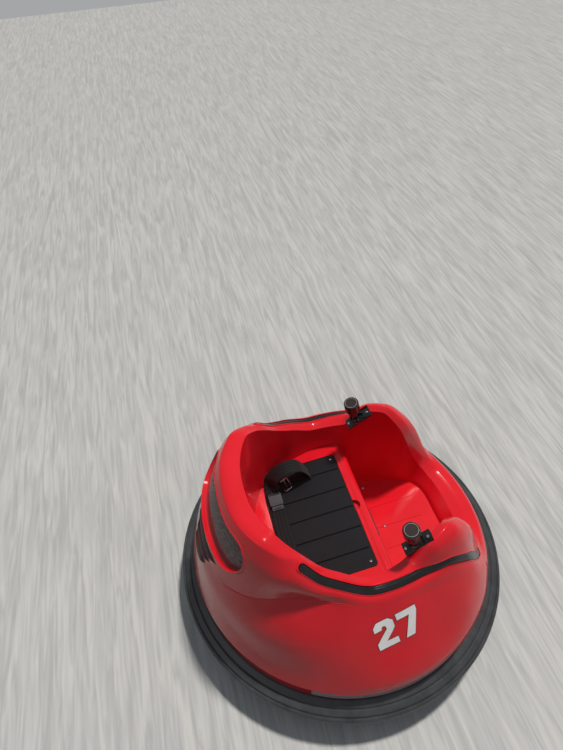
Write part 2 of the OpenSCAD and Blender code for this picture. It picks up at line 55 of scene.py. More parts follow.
camera = show("camera", bpy.data.cameras.new("camera"))
camera.data.lens = 26.0
camera.data.sensor_width = 36.0
camera.matrix_world = (Matrix.Translation((-0.5583, 0.2354, 1.3011)) @ rotation(-102.5, "Z")
                       @ rotation(90 - 46.4, "X") @ rotation(-3.5, "Z"))
bpy.context.scene.camera = camera
bpy.context.scene.view_settings.view_transform = "Standard"


def srgb(code):
    """An sRGB hex colour as linear RGBA."""
    parts = [int(code[k:k + 2], 16) / 255 for k in (1, 3, 5)]
    return tuple(c / 12.92 if c <= 0.04045 else ((c + 0.055) / 1.055) ** 2.4 for c in parts) + (1.0,)


def add(tree, kind, at=None, links=None, stops=(), **settings):
    """Adds a node: settings for its properties, `at` for its inputs, `links` for what feeds them, where
    a node stands for its first output, and `stops` for a colour ramp's places and colours."""
    made = tree.nodes.new(kind)
    for name, value in settings.items():
        setattr(made, name, value)
    for name, value in (at or {}).items():
        made.inputs[name].default_value = value
    for name, source in (links or {}).items():
        tree.links.new(source.outputs[0] if hasattr(source, "outputs") else source, made.inputs[name])
    for stop, (spot, code) in zip(made.color_ramp.elements if stops else (), stops):
        stop.position, stop.color = spot, srgb(code)
    return made


def blank(owner):
    """The emptied tree of a material or world, and its node of coordinates."""
    owner.use_nodes = True
    owner.node_tree.nodes.clear()
    return owner.node_tree, add(owner.node_tree, "ShaderNodeTexCoord").outputs


floor_paint = bpy.data.materials.new("pale_play_floor")
tree, place = blank(floor_paint)
stretch = add(tree, "ShaderNodeMapping", {"Scale": (1.2, 16, 1)}, {"Vector": place["Object"]})
grain = add(tree, "ShaderNodeTexNoise", {"Scale": 4.0, "Detail": 6.0, "Distortion": 1.2}, {"Vector": stretch})
tones = add(tree, "ShaderNodeValToRGB", links={"Fac": grain}, stops=((0.35, "#a6a7a7"), (0.65, "#bfbfbd")))
plank = add(tree, "ShaderNodeBsdfPrincipled", {"Roughness": 0.55}, {"Base Color": tones})
# The floor throws less light back than it shows, as it does with people and other cars round it.
shaded = add(tree, "ShaderNodeBsdfDiffuse", {"Color": srgb("#606163")})
rays = add(tree, "ShaderNodeLightPath").outputs
plank = add(tree, "ShaderNodeMixShader", links={0: rays["Is Diffuse Ray"], 1: plank, 2: shaded})
add(tree, "ShaderNodeOutputMaterial", links={"Surface": plank})
bpy.ops.mesh.primitive_plane_add(size=12, location=(0, 0, -0.0005))
floor = bpy.context.object
floor.name = "floor"
floor.data.materials.append(floor_paint)

world = bpy.data.worlds.new("studio")
bpy.context.scene.world = world
tree, place = blank(world)
height = add(tree, "ShaderNodeSeparateXYZ", links={"Vector": place["Generated"]})
sky = add(tree, "ShaderNodeValToRGB", links={"Fac": height.outputs["Z"]},
          stops=((0.0, "#777a7f"), (0.75, "#cbd3dc")))
light = add(tree, "ShaderNodeBackground", {"Strength": 0.34}, {"Color": sky})
# The camera, the gloss and the clear plastics see a plain grey room in place of that sky.
seen = add(tree, "ShaderNodeBackground", {"Color": srgb("#a4a6a8"), "Strength": 1.0})
rays = add(tree, "ShaderNodeLightPath").outputs
shown = add(tree, "ShaderNodeMath", links={0: rays["Is Camera Ray"], 1: rays["Is Glossy Ray"]},
            operation="MAXIMUM")
shown = add(tree, "ShaderNodeMath", links={0: shown, 1: rays["Is Transmission Ray"]}, operation="MAXIMUM")
mixed = add(tree, "ShaderNodeMixShader", links={0: shown, 1: light, 2: seen})
add(tree, "ShaderNodeOutputWorld", links={"Surface": mixed})


def lamp(name, kind, place, target, energy, size, colour="#ffffff"):
    """A soft lamp at a place, aimed at a target: a sun's size is an angle, an area lamp's its sides."""
    data = bpy.data.lights.new(name, kind)
    data.energy = energy
    data.color = srgb(colour)[:3]
    if kind == "SUN":
        data.angle = radians(size)
    else:
        data.shape = "RECTANGLE"
        data.size, data.size_y = size
    made = show(name, data)
    made.location = place
    made.rotation_euler = (Vector(target) - Vector(place)).to_track_quat("-Z", "Y").to_euler()
    return made


SUN_PLACE, SUN_COLOUR = (0.62, -1.02, 3.2), "#fffaf3"
# The sun lights the car and casts its shadow; a weaker one gives the highlights.
key = lamp("key", "SUN", SUN_PLACE, (0, 0, 0), 2.5, 5, SUN_COLOUR)
key.visible_glossy = False
lamp("sheen", "SUN", SUN_PLACE, (0, 0, 0), 0.55, 6, SUN_COLOUR)
lamp("rear_strip", "AREA", (-0.6, 1.9, 2.2), (0, 0, 0.25), 3, (2.0, 0.2))
fill = lamp("side_fill", "AREA", (-1.0, -2.6, 1.4), (0, 0, 0.2), 4.5, (1.6, 1.6), "#f4f7ff")
fill.visible_glossy = False


# Body shell: one tub blow-moulded in polypropylene with dyed-through red pigment and polished
# moulds, so it is glossy, slightly wavy, and finely scuffed where knees and shoes rub it.
MM = 0.001
RING_R, BODY_R, SKIRT_R, HEM_Z, BODY_Z0, FLOOR_Z = 370, 334, 326, 101, 54, 98
BAND_H, BAND_STEP, GAP, FOLD_R, FOLD_UP = 37, 2.5, 0.3, 1.7, 1.0
# Sections by the angle from the rear, in millimetres: radius and height of the fender's side, its
# shoulder, the crease, the wall's top corner, the stripe's line, the rim's crest, the rim's inner
# edge, and the radius of the cockpit wall's foot.
SECTIONS = [
    (0, 320, 200, 311, 238, 299, 272, 258, 392, 243, 420, 236, 429, 198, 427, 174),
    (15, 320, 198, 310, 237, 298, 271, 258, 394, 244, 421, 237, 430, 200, 429, 173),
    (31, 320, 182, 306, 237, 283, 294, 255, 392, 240, 420, 233, 430, 201, 430, 172),
    (42, 321, 174, 300, 243, 259, 306, 249, 376, 229, 406, 221, 413, 197, 410, 169),
    (50, 322, 168, 293, 248, 243, 314, 236, 374, 214, 391, 203, 393, 191, 386, 165),
    (60, 324, 163, 289, 245, 233, 314, 228, 345, 210, 355, 199, 357, 186, 355, 158),
    (70, 325, 160, 285, 238, 229, 311, 221, 329, 207, 335, 196, 337, 181, 333, 152),
    (90, 328, 156, 285, 215, 236, 282, 223, 298, 209, 304, 197, 306, 180, 301, 147),
    (110, 329, 158, 286, 222, 244, 280, 232, 299, 217, 307, 201, 313, 181, 307, 146),
    (125, 329, 162, 300, 224, 266, 276, 252, 300, 243, 310, 210, 357, 192, 351, 164),
    (135, 330, 158, 308, 214, 287, 256, 275, 274, 268, 285, 218, 362, 202, 356, 184),
    (145, 331, 146, 315, 188, 304, 203, 298, 212, 292, 221, 229, 335, 211, 327, 203),
    (150, 332, 138, 318, 166, 309, 178, 305, 184, 300, 190, 240, 303, 221, 292, 215),
    (154, 332, 134, 321, 153, 314, 160, 311, 164, 306, 171, 272, 221, 246, 208, 229),
    (158, 333, 130, 323, 146, 317, 152, 313, 154, 310, 156, 296, 165, 267, 158, 240),
    (165, 333, 126, 325, 140, 319, 145, 315, 146, 312, 147, 298, 149, 272, 144, 246),
    (180, 333, 124, 326, 137, 320, 143, 317, 144, 314, 144, 300, 145, 270, 140, 241)]
# The columns where the fender's side, the stripe's line, the rim's inner edge and the foot start.
FENDER, LINE, EDGE, FOOT = 1, 9, 13, 15


def slope_at(k, column):
    """Slope of one column at row k that lets the curve pass with no overshoot."""
    if k in (0, len(SECTIONS) - 1):
        return 0.0
    before, here, after = SECTIONS[k - 1], SECTIONS[k], SECTIONS[k + 1]
    a = (here[column] - before[column]) / (here[0] - before[0])
    b = (after[column] - here[column]) / (after[0] - here[0])
    return 0.0 if a * b <= 0 else 2 * a * b / (a + b)


def eased(a, b, leave, arrive, s):
    """A smooth way from a to b at s, from 0 to 1, with the slopes at which it leaves and arrives."""
    return (a * (1 - s) ** 2 * (1 + 2 * s) + b * s * s * (3 - 2 * s)
            + leave * s * (1 - s) ** 2 - arrive * s * s * (1 - s))


def from_rear(angle):
    """How far an angle lies from the rear, to either side."""
    turn = abs(angle) % 360
    return 360 - turn if turn > 180 else turn


def section_value(angle, column):
    """Smooth value of one column of the sections at an angle in degrees."""
    turn = from_rear(angle)
    k = max(i for i in range(len(SECTIONS) - 1) if turn >= SECTIONS[i][0])
    width = SECTIONS[k + 1][0] - SECTIONS[k][0]
    return eased(SECTIONS[k][column], SECTIONS[k + 1][column], width * slope_at(k, column),
                 width * slope_at(k + 1, column), (turn - SECTIONS[k][0]) / width)


def rounded(points, steps=8):
    """A curve through 2-D points, with `steps` parts from one point to the next."""
    points = [Vector(p) for p in points]
    heads = []
    for i, here in enumerate(points):
        back = (here - points[i - 1]).normalized() if i else (points[1] - here).normalized()
        ahead = (points[i + 1] - here).normalized() if i + 1 < len(points) else back
        heads.append((back + ahead).normalized())
    line = []
    for i, (a, b) in enumerate(zip(points, points[1:])):
        span = (b - a).length
        line += [eased(a, b, heads[i] * span, heads[i + 1] * span, j / steps) for j in range(steps)]
    return line + [points[-1]]


def key_points(angle):
    """The section at an angle, from the fender's side to the rim's inner edge, as (radius, height)."""
    return [(section_value(angle, c), section_value(angle, c + 1)) for c in range(FENDER, FOOT, 2)]


def outer_wall(angle):
    """The body's outer surface at an angle, from the hem band up over the rim to its inner edge."""
    keys = key_points(angle)
    band_top = HEM_Z + min(BAND_H, 0.62 * (keys[0][1] - HEM_Z))
    low = rounded([(BODY_R, band_top + BAND_STEP)] + keys[:3])
    high = rounded(keys[2:])
    # The crease is a sharp raised fold along the sides and fades out at the rear and down the arms.
    turn = from_rear(angle)
    sharp = max(0.0, min(1.0, (turn - 12) / 12, (80 - turn) / 14)) * FOLD_UP
    way = (high[1] - low[-2]).normalized()
    fold = high[0] + Vector((way.y, -way.x)) * sharp
    beside = [high[0] + (low[-2] - fold).normalized() * FOLD_R, fold,
              high[0] + (high[1] - fold).normalized() * FOLD_R]
    return [Vector((BODY_R - BAND_STEP, band_top))] + low[:-1] + beside + high[1:]


def fillet(points, radius, steps=5):
    """The corners of a 2-D line made round, all but its ends."""
    points = [Vector(p) for p in points]
    line = points[:1]
    for before, here, after in zip(points, points[1:], points[2:]):
        reach = min(radius, (here - before).length * 0.45, (after - here).length * 0.45)
        a, b = here + (before - here).normalized() * reach, here + (after - here).normalized() * reach
        line += [a * (1 - s) ** 2 + here * 2 * s * (1 - s) + b * s * s
                 for s in [k / steps for k in range(steps + 1)]]
    return line + points[-1:]


def turn_outwards(mesh):
    """Turns a closed mesh's faces outwards."""
    work = bmesh.new()
    work.from_mesh(mesh)
    bmesh.ops.recalc_face_normals(work, faces=work.faces)
    work.to_mesh(mesh)
    work.free()


def shape(name, verts, faces):
    """A mesh object from points in millimetres."""
    mesh = bpy.data.meshes.new(name)
    mesh.from_pydata([tuple(v * MM for v in p) for p in verts], [], faces)
    turn_outwards(mesh)
    return show(name, mesh)


def quads(n, m, rows, columns):
    """Faces between n rings of m points, for a number of rows and columns that may close up."""
    return [(i * m + j, i * m + (j + 1) % m, (i + 1) % n * m + (j + 1) % m, (i + 1) % n * m + j)
            for i in range(rows) for j in range(columns)]


def hoop(name, rings):
    """A closed skin over equal rings of points, with the last ring joined to the first."""
    n, m = len(rings), len(rings[0])
    return shape(name, [p for ring in rings for p in ring], quads(n, m, n, m))


def loft(name, rings, tips=None):
    """A closed skin over equal rings of points with flat ends or, with two tips, over equal lines
    that stand round an axis, from the lower tip to the upper."""
    n, m = len(rings), len(rings[0])
    verts = [p for ring in rings for p in ring]
    if not tips:
        ends = [tuple(range(m - 1, -1, -1)), tuple((n - 1) * m + j for j in range(m))]
        return shape(name, verts, quads(n, m, n - 1, m) + ends)
    faces = quads(n, m, n, m - 1)
    for tip, j in zip(tips, (0, m - 1)):
        verts.append(tip)
        faces += [(len(verts) - 1, i * m + j, (i + 1) % n * m + j) for i in range(n)]
    return shape(name, verts, faces)


def settle(piece):
    """Turns a piece's modifiers into plain mesh."""
    graph = bpy.context.evaluated_depsgraph_get()
    done = bpy.data.meshes.new_from_object(piece.evaluated_get(graph))
    piece.modifiers.clear()
    piece.data = done
    return piece


def carve(piece, tools, operation="DIFFERENCE"):
    """Cuts tools out of a piece, joins them to it or keeps what they share, and drops the tools."""
    for tool in tools:
        step = piece.modifiers.new(operation, "BOOLEAN")
        step.operation, step.solver, step.object = operation, "MANIFOLD", tool
    settle(piece)
    for tool in tools:
        bpy.data.objects.remove(tool, do_unlink=True)
    return piece


def finish_piece(piece, material, body="root", stands_for=(), smooth=32):
    """Gives a piece its material, its soft edges' shading and its place in the assembly."""
    piece.data.materials.clear()
    piece.data.materials.append(material)
    piece.data.shade_smooth()
    piece.data.set_sharp_from_angle(angle=radians(smooth))
    flats = piece.modifiers.new("flats_stay_flat", "WEIGHTED_NORMAL")
    flats.keep_sharp = True
    settle(piece)
    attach(piece, body)
    if stands_for:
        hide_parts(*stands_for)
    return piece


def polar(r, angle, z):
    return (r * sin(radians(angle)), r * cos(radians(angle)), z)


def body_ring(angle):
    """The tub's section at an angle, from under the hem over the rim to the cockpit floor."""
    foot, wall = section_value(angle, FOOT), outer_wall(angle)
    half_way = ((wall[-1].x + foot + 5) / 2, (wall[-1].y + FLOOR_Z + 22) / 2)
    inner = fillet([wall[-2], wall[-1], half_way], 4.5)[:-1] \
        + fillet([half_way, (foot + 5, FLOOR_Z + 22), (foot, FLOOR_Z + 8), (foot - 9, FLOOR_Z)], 9)[1:]
    skirt = [(SKIRT_R, BODY_Z0), (SKIRT_R, HEM_Z), (BODY_R - BAND_STEP, HEM_Z)]
    return [polar(r, angle, z) for r, z in skirt + wall[:-2] + inner]


TURNS = 288
body = loft("body_shell_moulding", [body_ring(360 * i / TURNS) for i in range(TURNS)],
            ((0, 0, BODY_Z0), (0, 0, FLOOR_Z)))
wall_tree = BVHTree.FromPolygons([v.co.copy() for v in body.data.vertices],
                                 [tuple(p.vertices) for p in body.data.polygons])


def on_wall(start, way):
    """Where a ray from a point in millimetres meets the uncut tub, and the way out of it there."""
    spot, out, _, _ = wall_tree.ray_cast(Vector(start) * MM, Vector(way))
    return spot / MM, out


def seen_from_rear(x, z):
    return on_wall((x, 450, z), (0, -1, 0))


def rear_wall(x, z, reach=5.0):
    """The rear wall at (x, z) seen from behind, and the way straight out of it."""
    low, high, left, right = (seen_from_rear(x + u, z + v)[0] for u, v in (
        (0, -reach), (0, reach), (-reach, 0), (reach, 0)))
    return seen_from_rear(x, z)[0], (high - low).cross(right - left).normalized()


def prism(name, outline, low, high, turn=Matrix.Identity(4)):
    """A block with a flat outline (x, y), from low to high along z, then turned into place."""
    return loft(name, [[turn @ Vector((x, y, z)) for x, y in outline] for z in (low, high)])


def arc(cx, cy, r, start, end, steps):
    """Points on a circle between two angles in degrees."""
    return [(cx + r * cos(radians(start + (end - start) * k / steps)),
             cy + r * sin(radians(start + (end - start) * k / steps))) for k in range(steps + 1)]


def oblong(x0, y0, x1, y1):
    return [(x0, y0), (x1, y0), (x1, y1), (x0, y1)]


def block(lo, hi, turn=Matrix.Identity(4)):
    return prism("block", oblong(*lo[:2], *hi[:2]), lo[2], hi[2], turn)


def disc(r, low, high, turn=Matrix.Identity(4), sides=96):
    return prism("disc", arc(0, 0, r, 0, 360 - 360 / sides, sides - 1), low, high, turn)


def plan(column, grow=0):
    """One column of the sections seen from above, as an outline."""
    return [polar(section_value(t, column) + grow, t, 0)[:2] for t in range(-180, 180, 3)]


TO_SIDE, TO_REAR = rotation(90, "Z") @ rotation(90, "X"), rotation(90, "X")
SEAT_Z, SEAT_TILT, PANEL_FRONT, PANEL_REAR, PANEL_W, PANEL_T = 243, 5, 33, 150, 282, 7
NOSE_R, BOX_FRONT, FLOOR_TILT = 14, 60, 4
IN_SEAT = (Matrix.Translation((0, -PANEL_FRONT, SEAT_Z)) @ rotation(-SEAT_TILT, "X")
           @ Matrix.Translation((0, PANEL_FRONT, 0)))
seat_back_z = SEAT_Z - (RING_R + PANEL_FRONT) * tan(radians(SEAT_TILT))
seat_side = [(-BOX_FRONT - 6, BODY_Z0)] + arc(-PANEL_FRONT - NOSE_R, SEAT_Z - 12, NOSE_R, 178, 60, 16) \
    + [(-PANEL_FRONT, SEAT_Z), (RING_R, seat_back_z), (RING_R, BODY_Z0)]
seat_box = prism("seat_box", seat_side, -RING_R, RING_R, TO_SIDE)
carve(seat_box, [prism("seat_plan", plan(EDGE), BODY_Z0, 320)], "INTERSECT")
IN_FLOOR = Matrix.Translation((0, -BOX_FRONT, FLOOR_Z)) @ rotation(-FLOOR_TILT, "X")
footwell = block((-RING_R, -RING_R, -30), (RING_R, 20, 0), IN_FLOOR)
carve(footwell, [prism("foot_plan", plan(FOOT, 6), BODY_Z0, 260)], "INTERSECT")
carve(body, [seat_box, footwell], "UNION")


def round_plan(lo, hi, rear, front, grow=0.0):
    """A rectangle seen from above with round corners, given as (radius, steps), and grown all round."""
    made = []
    for k, (r, steps) in enumerate((rear, rear, front, front)):
        x = hi[0] - r if k in (0, 3) else lo[0] + r
        y = hi[1] - r if k < 2 else lo[1] + r
        made += arc(x, y, r + grow, 90 * k, 90 * k + 90, steps)
    return made


def panel_outline(grow=0.0):
    """The seat panel's outline from above: wide rounded rear corners and small front ones."""
    return round_plan((-PANEL_W / 2, -PANEL_FRONT), (PANEL_W / 2, PANEL_REAR), (70, 24), (8, 8), grow)


LENS_X, LENS_Z, LENS_R = 86, 368, 40


def lens_shape(grow=0.0):
    """The lens seen from behind: a long slot with round ends, grown all round."""
    r, straight = LENS_R + grow, [LENS_X * (1 - k / 20) for k in range(1, 40)]
    return (arc(LENS_X, LENS_Z, r, -90, 90, 32) + [(x, LENS_Z + r) for x in straight]
            + arc(-LENS_X, LENS_Z, r, 90, 270, 32) + [(-x, LENS_Z - r) for x in straight])


# Each claw: half its length and the height of its tips. A claw swells downwards to its middle and
# its face runs out from the wall, up to a red brow under it.
CLAWS = ((75, 297), (54, 272), (43, 250))
CLAW_W, CLAW_SINK, CLAW_LIFT, BROW_W = 14, 2.2, 4.6, 12


def claw_line(half, tips, grow=0.0, count=48):
    """Along a claw: its upper edge, its lower edge, the brow's foot, the way out and how full it is."""
    line = []
    for k in range(count + 1):
        x = (half + grow) * (1 - 2 * k / count)
        full = 1 - (x / (half + grow)) ** 2
        low = tips - 1 - (CLAW_W - 1) * full - grow
        upper, out = rear_wall(x, tips - full + grow)
        lower, foot = rear_wall(x, low)[0], rear_wall(x, low - BROW_W * min(1, 3 * full) - 0.5)[0]
        line.append((upper, lower, foot, out, min(1, 2 * full)))
    return line


def claw_pocket(half, tips):
    return loft("claw_pocket", [(upper + out * 9, upper - out * 4, lower - out * 4, lower + out * 9)
                                for upper, lower, _, out, _ in claw_line(half, tips, GAP)])


def claw_brow(half, tips):
    """The red brow under a claw, which slopes from the claw's lower edge back into the wall."""
    rings = []
    for _, lower, foot, out, full in claw_line(half, tips):
        lift = out * CLAW_LIFT * full
        slope = [lower.lerp(foot, s) + lift * rise for s, rise in ((0.03, 1), (0.25, 0.85), (0.6, 0.35))]
        rings.append([lower - out * 3, lower + lift - out * 0.4] + slope + [foot - out * 0.3, foot - out * 3])
    return loft("claw_brow", rings)


def claw_inlay(half, tips):
    """A claw's black inlay: sunk along its upper edge, proud along its lower one, and crowned."""
    rings = []
    for upper, lower, _, out, full in claw_line(half, tips):
        top = upper - out * (0.3 + CLAW_SINK * full)
        bottom = lower + out * (CLAW_LIFT * full * 0.9 - 0.3)
        face = [top.lerp(bottom, s) + out * 3.6 * full * s * (1 - s) for s in (0, 0.1, 0.25, 0.5, 0.75, 0.9, 1)]
        rings.append([upper - out * 3.7] + face + [lower - out * 3.7])
    return loft("claw", rings)


def rear_block(depth, core=150):
    """The rear wall as a solid up to the rim's crest, out to a depth under its surface."""
    rings = []
    for k in range(81):
        angle = k * 1.25 - 50
        wall = [(r - depth, z) for r, z in outer_wall(angle)[:-8]]
        rings.append([polar(r, angle, z) for r, z in [(core, wall[0][1])] + wall + [(core, wall[-1][1])]])
    return loft("rear_block", rings)


def from_behind(name, outline, inner, outer=None):
    """An outline seen from the rear, run forward into the wall between two depths under its surface."""
    made = carve(prism(name, outline, -RING_R - 10, -200, TO_REAR), [rear_block(inner)])
    return made if outer is None else carve(made, [rear_block(outer)], "INTERSECT")


STRIPE_FROM, STRIPE_TO, STRIPE_HALF, STRIPE_UP, STRIPE_LIP = 50, 151, 7.6, 0.5, 2.2


def stripe_point(angle):
    """A point on the stripe's line, the way across it and the way out."""
    spot, ahead = (Vector(polar(section_value(t, LINE), t, section_value(t, LINE + 1)))
                   for t in (angle, angle + 0.5))
    along = (ahead - spot).normalized()
    corner, line, crest = (Vector(p) for p in key_points(angle)[3:6])
    rise = ((crest - line).normalized() + (line - corner).normalized()).normalized()
    out = Vector(polar(rise[0], angle, rise[1])).cross(along).normalized()
    across = out.cross(along).normalized()
    if across.z < 0:
        across = -across
    return spot + across * STRIPE_UP, across, out


def stripe_run(name, section, side, over=0.0, grow=0.0, count=220):
    """A band along the stripe's line whose ends are half round, `over` degrees longer at each end.
    The section gives, for a half width, its points across and out."""
    start, reach = STRIPE_FROM - over, STRIPE_TO - STRIPE_FROM + 2 * over
    stations = [stripe_point(start + reach * k / count) for k in range(count + 1)]
    travel = [0.0]
    for a, b in zip(stations, stations[1:]):
        travel.append(travel[-1] + (b[0] - a[0]).length)
    rings = []
    for (spot, across, out), s in zip(stations, travel):
        left = min(s, travel[-1] - s) + grow
        half = STRIPE_HALF + grow
        half = sqrt(max(half * half - max(half - left, 0.0) ** 2, 0.04))
        rings.append([(side * q.x, q.y, q.z) for q in (spot + across * u + out * v for u, v in section(half))])
    return loft(name, rings)


def groove_section(half):
    return [(-half, -2.7), (half, -2.7), (half, 20), (-half, 20)]


def lip_section(half):
    """The raised bed that is left as a narrow lip all round the stripe."""
    edge = min(1.0, half)
    flank = [(half, -0.6), (half - 0.4 * edge, 0.8), (half - 1.1 * edge, 1.5)]
    return [(-half, -4), (half, -4)] + flank + [(0, 1.6)] + [(-u, v) for u, v in reversed(flank)]


STRIP_FROM, STRIP_TO, STRIP_BACK, STRIP_FACE, STRIP_LOW, STRIP_HIGH = 62, 132, 328.3, 332.5, 107, 127


def sector(name, profile, side, over=0.0, steps=100):
    """A closed profile (radius, height) turned along a light strip, `over` degrees more at each end."""
    start, reach = STRIP_FROM - over, STRIP_TO - STRIP_FROM + 2 * over
    lines = [[polar(r, start + reach * k / steps, z) for r, z in profile] for k in range(steps + 1)]
    return loft(name, [[(side * x, y, z) for x, y, z in line] for line in lines])


STICK_X, STICK_FRONT, STICK_Z, STICK_SLOPE, LEAN = 157, 86, 342, 33, 12


def in_stick(side, slope=STICK_SLOPE):
    """The place of a joystick's base on its arm or, with the lever's lean, of the lever on it."""
    return Matrix.Translation((side * STICK_X, -STICK_FRONT, STICK_Z)) @ rotation(-slope, "X")


WHEEL_X, WHEEL_Z, WELL_R, WELL_W, CASTOR_Y, CASTOR_WELL_R = 192, 70, 82, 36, 222, 50.3


def on_axle(centre):
    """Turns what stands along z to lie along x, about a wheel's centre."""
    return Matrix.Translation(centre) @ rotation(90, "Y")


carve(body, [claw_brow(*claw) for claw in CLAWS]
      + [stripe_run("stripe_bed", lip_section, side, 1, STRIPE_LIP) for side in (1, -1)], "UNION")
cuts = []
for side in (1, -1):
    wheel_x = side * WHEEL_X
    cuts += [disc(WELL_R, -WELL_W, WELL_W, on_axle((wheel_x, 0, WHEEL_Z))),
             block((wheel_x - WELL_W, -WELL_R, -1), (wheel_x + WELL_W, WELL_R, WHEEL_Z)),
             stripe_run("stripe_groove", groove_section, side, 0.4, GAP),
             sector("light_gap", oblong(STRIP_BACK - GAP, STRIP_LOW - GAP, STRIP_FACE + 3, STRIP_HIGH + GAP),
                    side, GAP / 3),
             block((-13.3, -36.3, -13), (13.3, 26.3, 47), in_stick(side))]
# The bay for the motors and the battery, then the castors' wells.
cuts += [block((-170, -36, -1), (170, 140, 205))]
cuts += [disc(CASTOR_WELL_R, -1, 63.3, Matrix.Translation((0, y, 0))) for y in (-CASTOR_Y, CASTOR_Y)]
cuts += [claw_pocket(*claw) for claw in CLAWS]
cuts += [from_behind("lens_gap", lens_shape(GAP), 14)]
# The seat panel's recess with its finger notch, three grooves in the floor, and the controls' recess.
cuts += [prism("panel_gap", panel_outline(GAP), -PANEL_T, 60, IN_SEAT),
         disc(13, -9, 60, IN_SEAT @ Matrix.Translation((0, -PANEL_FRONT, 0)), 48)]
cuts += [block((x - 1.5, -150, -1), (x + 1.5, -10, 10), IN_FLOOR) for x in (-55, 0, 55)]
cuts += [block((-74, -78, 194), (-10, -58, 228))]
carve(body, cuts)


def red_shell():
    """Glossy dyed polypropylene: a clear deep red with faint flow waves and fine scuffs."""
    made = bpy.data.materials.new("gloss_red_polypropylene")
    tree, place = blank(made)
    at = {"Vector": place["Object"]}
    clouds = add(tree, "ShaderNodeTexNoise", {"Scale": 9.0, "Detail": 3.0}, at)
    shade = add(tree, "ShaderNodeValToRGB", links={"Fac": clouds}, stops=((0.3, "#d01321"), (0.7, "#dc1a28")))
    rubbed = add(tree, "ShaderNodeTexNoise", {"Scale": 38.0, "Detail": 8.0, "Roughness": 0.7}, at)
    gloss = add(tree, "ShaderNodeMapRange",
                {"From Min": 0.35, "From Max": 0.75, "To Min": 0.14, "To Max": 0.22}, {"Value": rubbed})
    waves = add(tree, "ShaderNodeTexNoise", {"Scale": 55.0, "Detail": 2.0}, at)
    way = add(tree, "ShaderNodeMapping", {"Scale": (30, 700, 300), "Rotation": (0.3, 0.2, 0.5)}, at)
    scratches = add(tree, "ShaderNodeTexNoise", {"Scale": 1.0, "Detail": 2.0}, {"Vector": way})
    fine = add(tree, "ShaderNodeMapRange",
               {"From Min": 0.62, "From Max": 0.8, "To Min": 0.0, "To Max": 0.25}, {"Value": scratches})
    relief = add(tree, "ShaderNodeMath", links={0: waves, 1: fine}, operation="SUBTRACT")
    bump = add(tree, "ShaderNodeBump", {"Strength": 0.06, "Distance": 0.0008}, {"Height": relief})
    skin = add(tree, "ShaderNodeBsdfPrincipled", {"IOR": 1.44, "Coat Weight": 0.05, "Coat Roughness": 0.1},
               {"Base Color": shade, "Roughness": gloss, "Normal": bump})
    add(tree, "ShaderNodeOutputMaterial", links={"Surface": skin})
    return made


gloss_red = red_shell()
# The lens sits in a moulded collar that stands higher and wider the lower it goes.
collar = []
for x, z in lens_shape(GAP):
    spot, out = rear_wall(x, z)
    away = Vector((x - max(-LENS_X, min(LENS_X, x)), 0, z - LENS_Z)).normalized()
    low = (0.5 - 0.5 * away.z) ** 1.3
    away = (away - out * away.dot(out)).normalized()
    high, wide = 1.2 + 6.8 * low, 3.4 + 7.0 * low
    collar.append([spot + away * u + out * v for u, v in (
        (0, -4), (0, high - 1.1), (0.35, high - 0.4), (1.1, high), (0.35 * wide, 0.93 * high),
        (0.6 * wide, 0.6 * high), (0.82 * wide, 0.22 * high), (wide, -0.4), (wide, -4))])
finish_piece(body, gloss_red, stands_for=["body_shell"])
finish_piece(hoop("lens_lip", collar), gloss_red, smooth=50)


# Bumper ring: extruded black rubber, bent round the hem and joined at the front, with lengthwise
# ribs on its sloping top and a blunt nose that takes the knocks.
def turned(name, profile, steps, turn=Matrix.Identity(4)):
    """A closed profile (radius, height) turned right round an axis."""
    return hoop(name, [[turn @ Vector(polar(r, 360 * i / steps, z)) for r, z in profile] for i in range(steps)])


def surface(name, light, dark, rough, spread=0.1, grain=0.0, grain_mm=0.8, metal=0.0, coat=0.0,
            wear=(34.0, 0.68, 0.72, 0.3, 0.75)):
    """A moulded or plated surface: two near tones, uneven gloss and, where it has one, a fine grain. Its
    wear is given by scale, roughness, the place of the light tone, and the range that the gloss follows."""
    made = bpy.data.materials.new(name)
    tree, place = blank(made)
    at = {"Vector": place["Object"]}
    scale, fine, top, least, most = wear
    patches = add(tree, "ShaderNodeTexNoise", {"Scale": scale, "Detail": 7.0, "Roughness": fine}, at)
    shade = add(tree, "ShaderNodeValToRGB", links={"Fac": patches}, stops=((0.35, dark), (top, light)))
    gloss = add(tree, "ShaderNodeMapRange",
                {"From Min": least, "From Max": most, "To Min": rough, "To Max": rough + spread},
                {"Value": patches})
    skin = add(tree, "ShaderNodeBsdfPrincipled",
               {"Metallic": metal, "Coat Weight": coat, "Coat Roughness": 0.08},
               {"Base Color": shade, "Roughness": gloss})
    if grain:
        bead = add(tree, "ShaderNodeTexVoronoi", {"Scale": 1000 / grain_mm}, at)
        bump = add(tree, "ShaderNodeBump", {"Strength": grain, "Distance": 0.0004}, {"Height": bead})
        tree.links.new(bump.outputs["Normal"], skin.inputs["Normal"])
    add(tree, "ShaderNodeOutputMaterial", links={"Surface": skin})
    return made


RING_IN = 326.3
ring_profile = [(RING_IN, 46), (338, 38), (354, 41), (365, 56), (368, 71), (RING_R, 80), (368.5, 86), (364, 89),
                (362, 87), (360, 91), (350, 95), (348, 93), (346, 96.5), (335, 100.7), (RING_IN, 100.7)]
bumper = turned("bumper_ring_rubber", fillet(ring_profile + ring_profile[:1], 1.4, 3)[:-1], 256)
# A dusty bloom in soft patches and a fine pebbled skin make it look like rubber.
RUBBER = {"spread": 0.18, "grain": 0.25, "wear": (26.0, 0.65, 0.75, 0.0, 1.0)}
ring_rubber = surface("satin_black_rubber", "#46484b", "#2e3033", 0.32, grain_mm=2.2, **RUBBER)
finish_piece(bumper, ring_rubber, stands_for=["bumper_ring"], smooth=40)


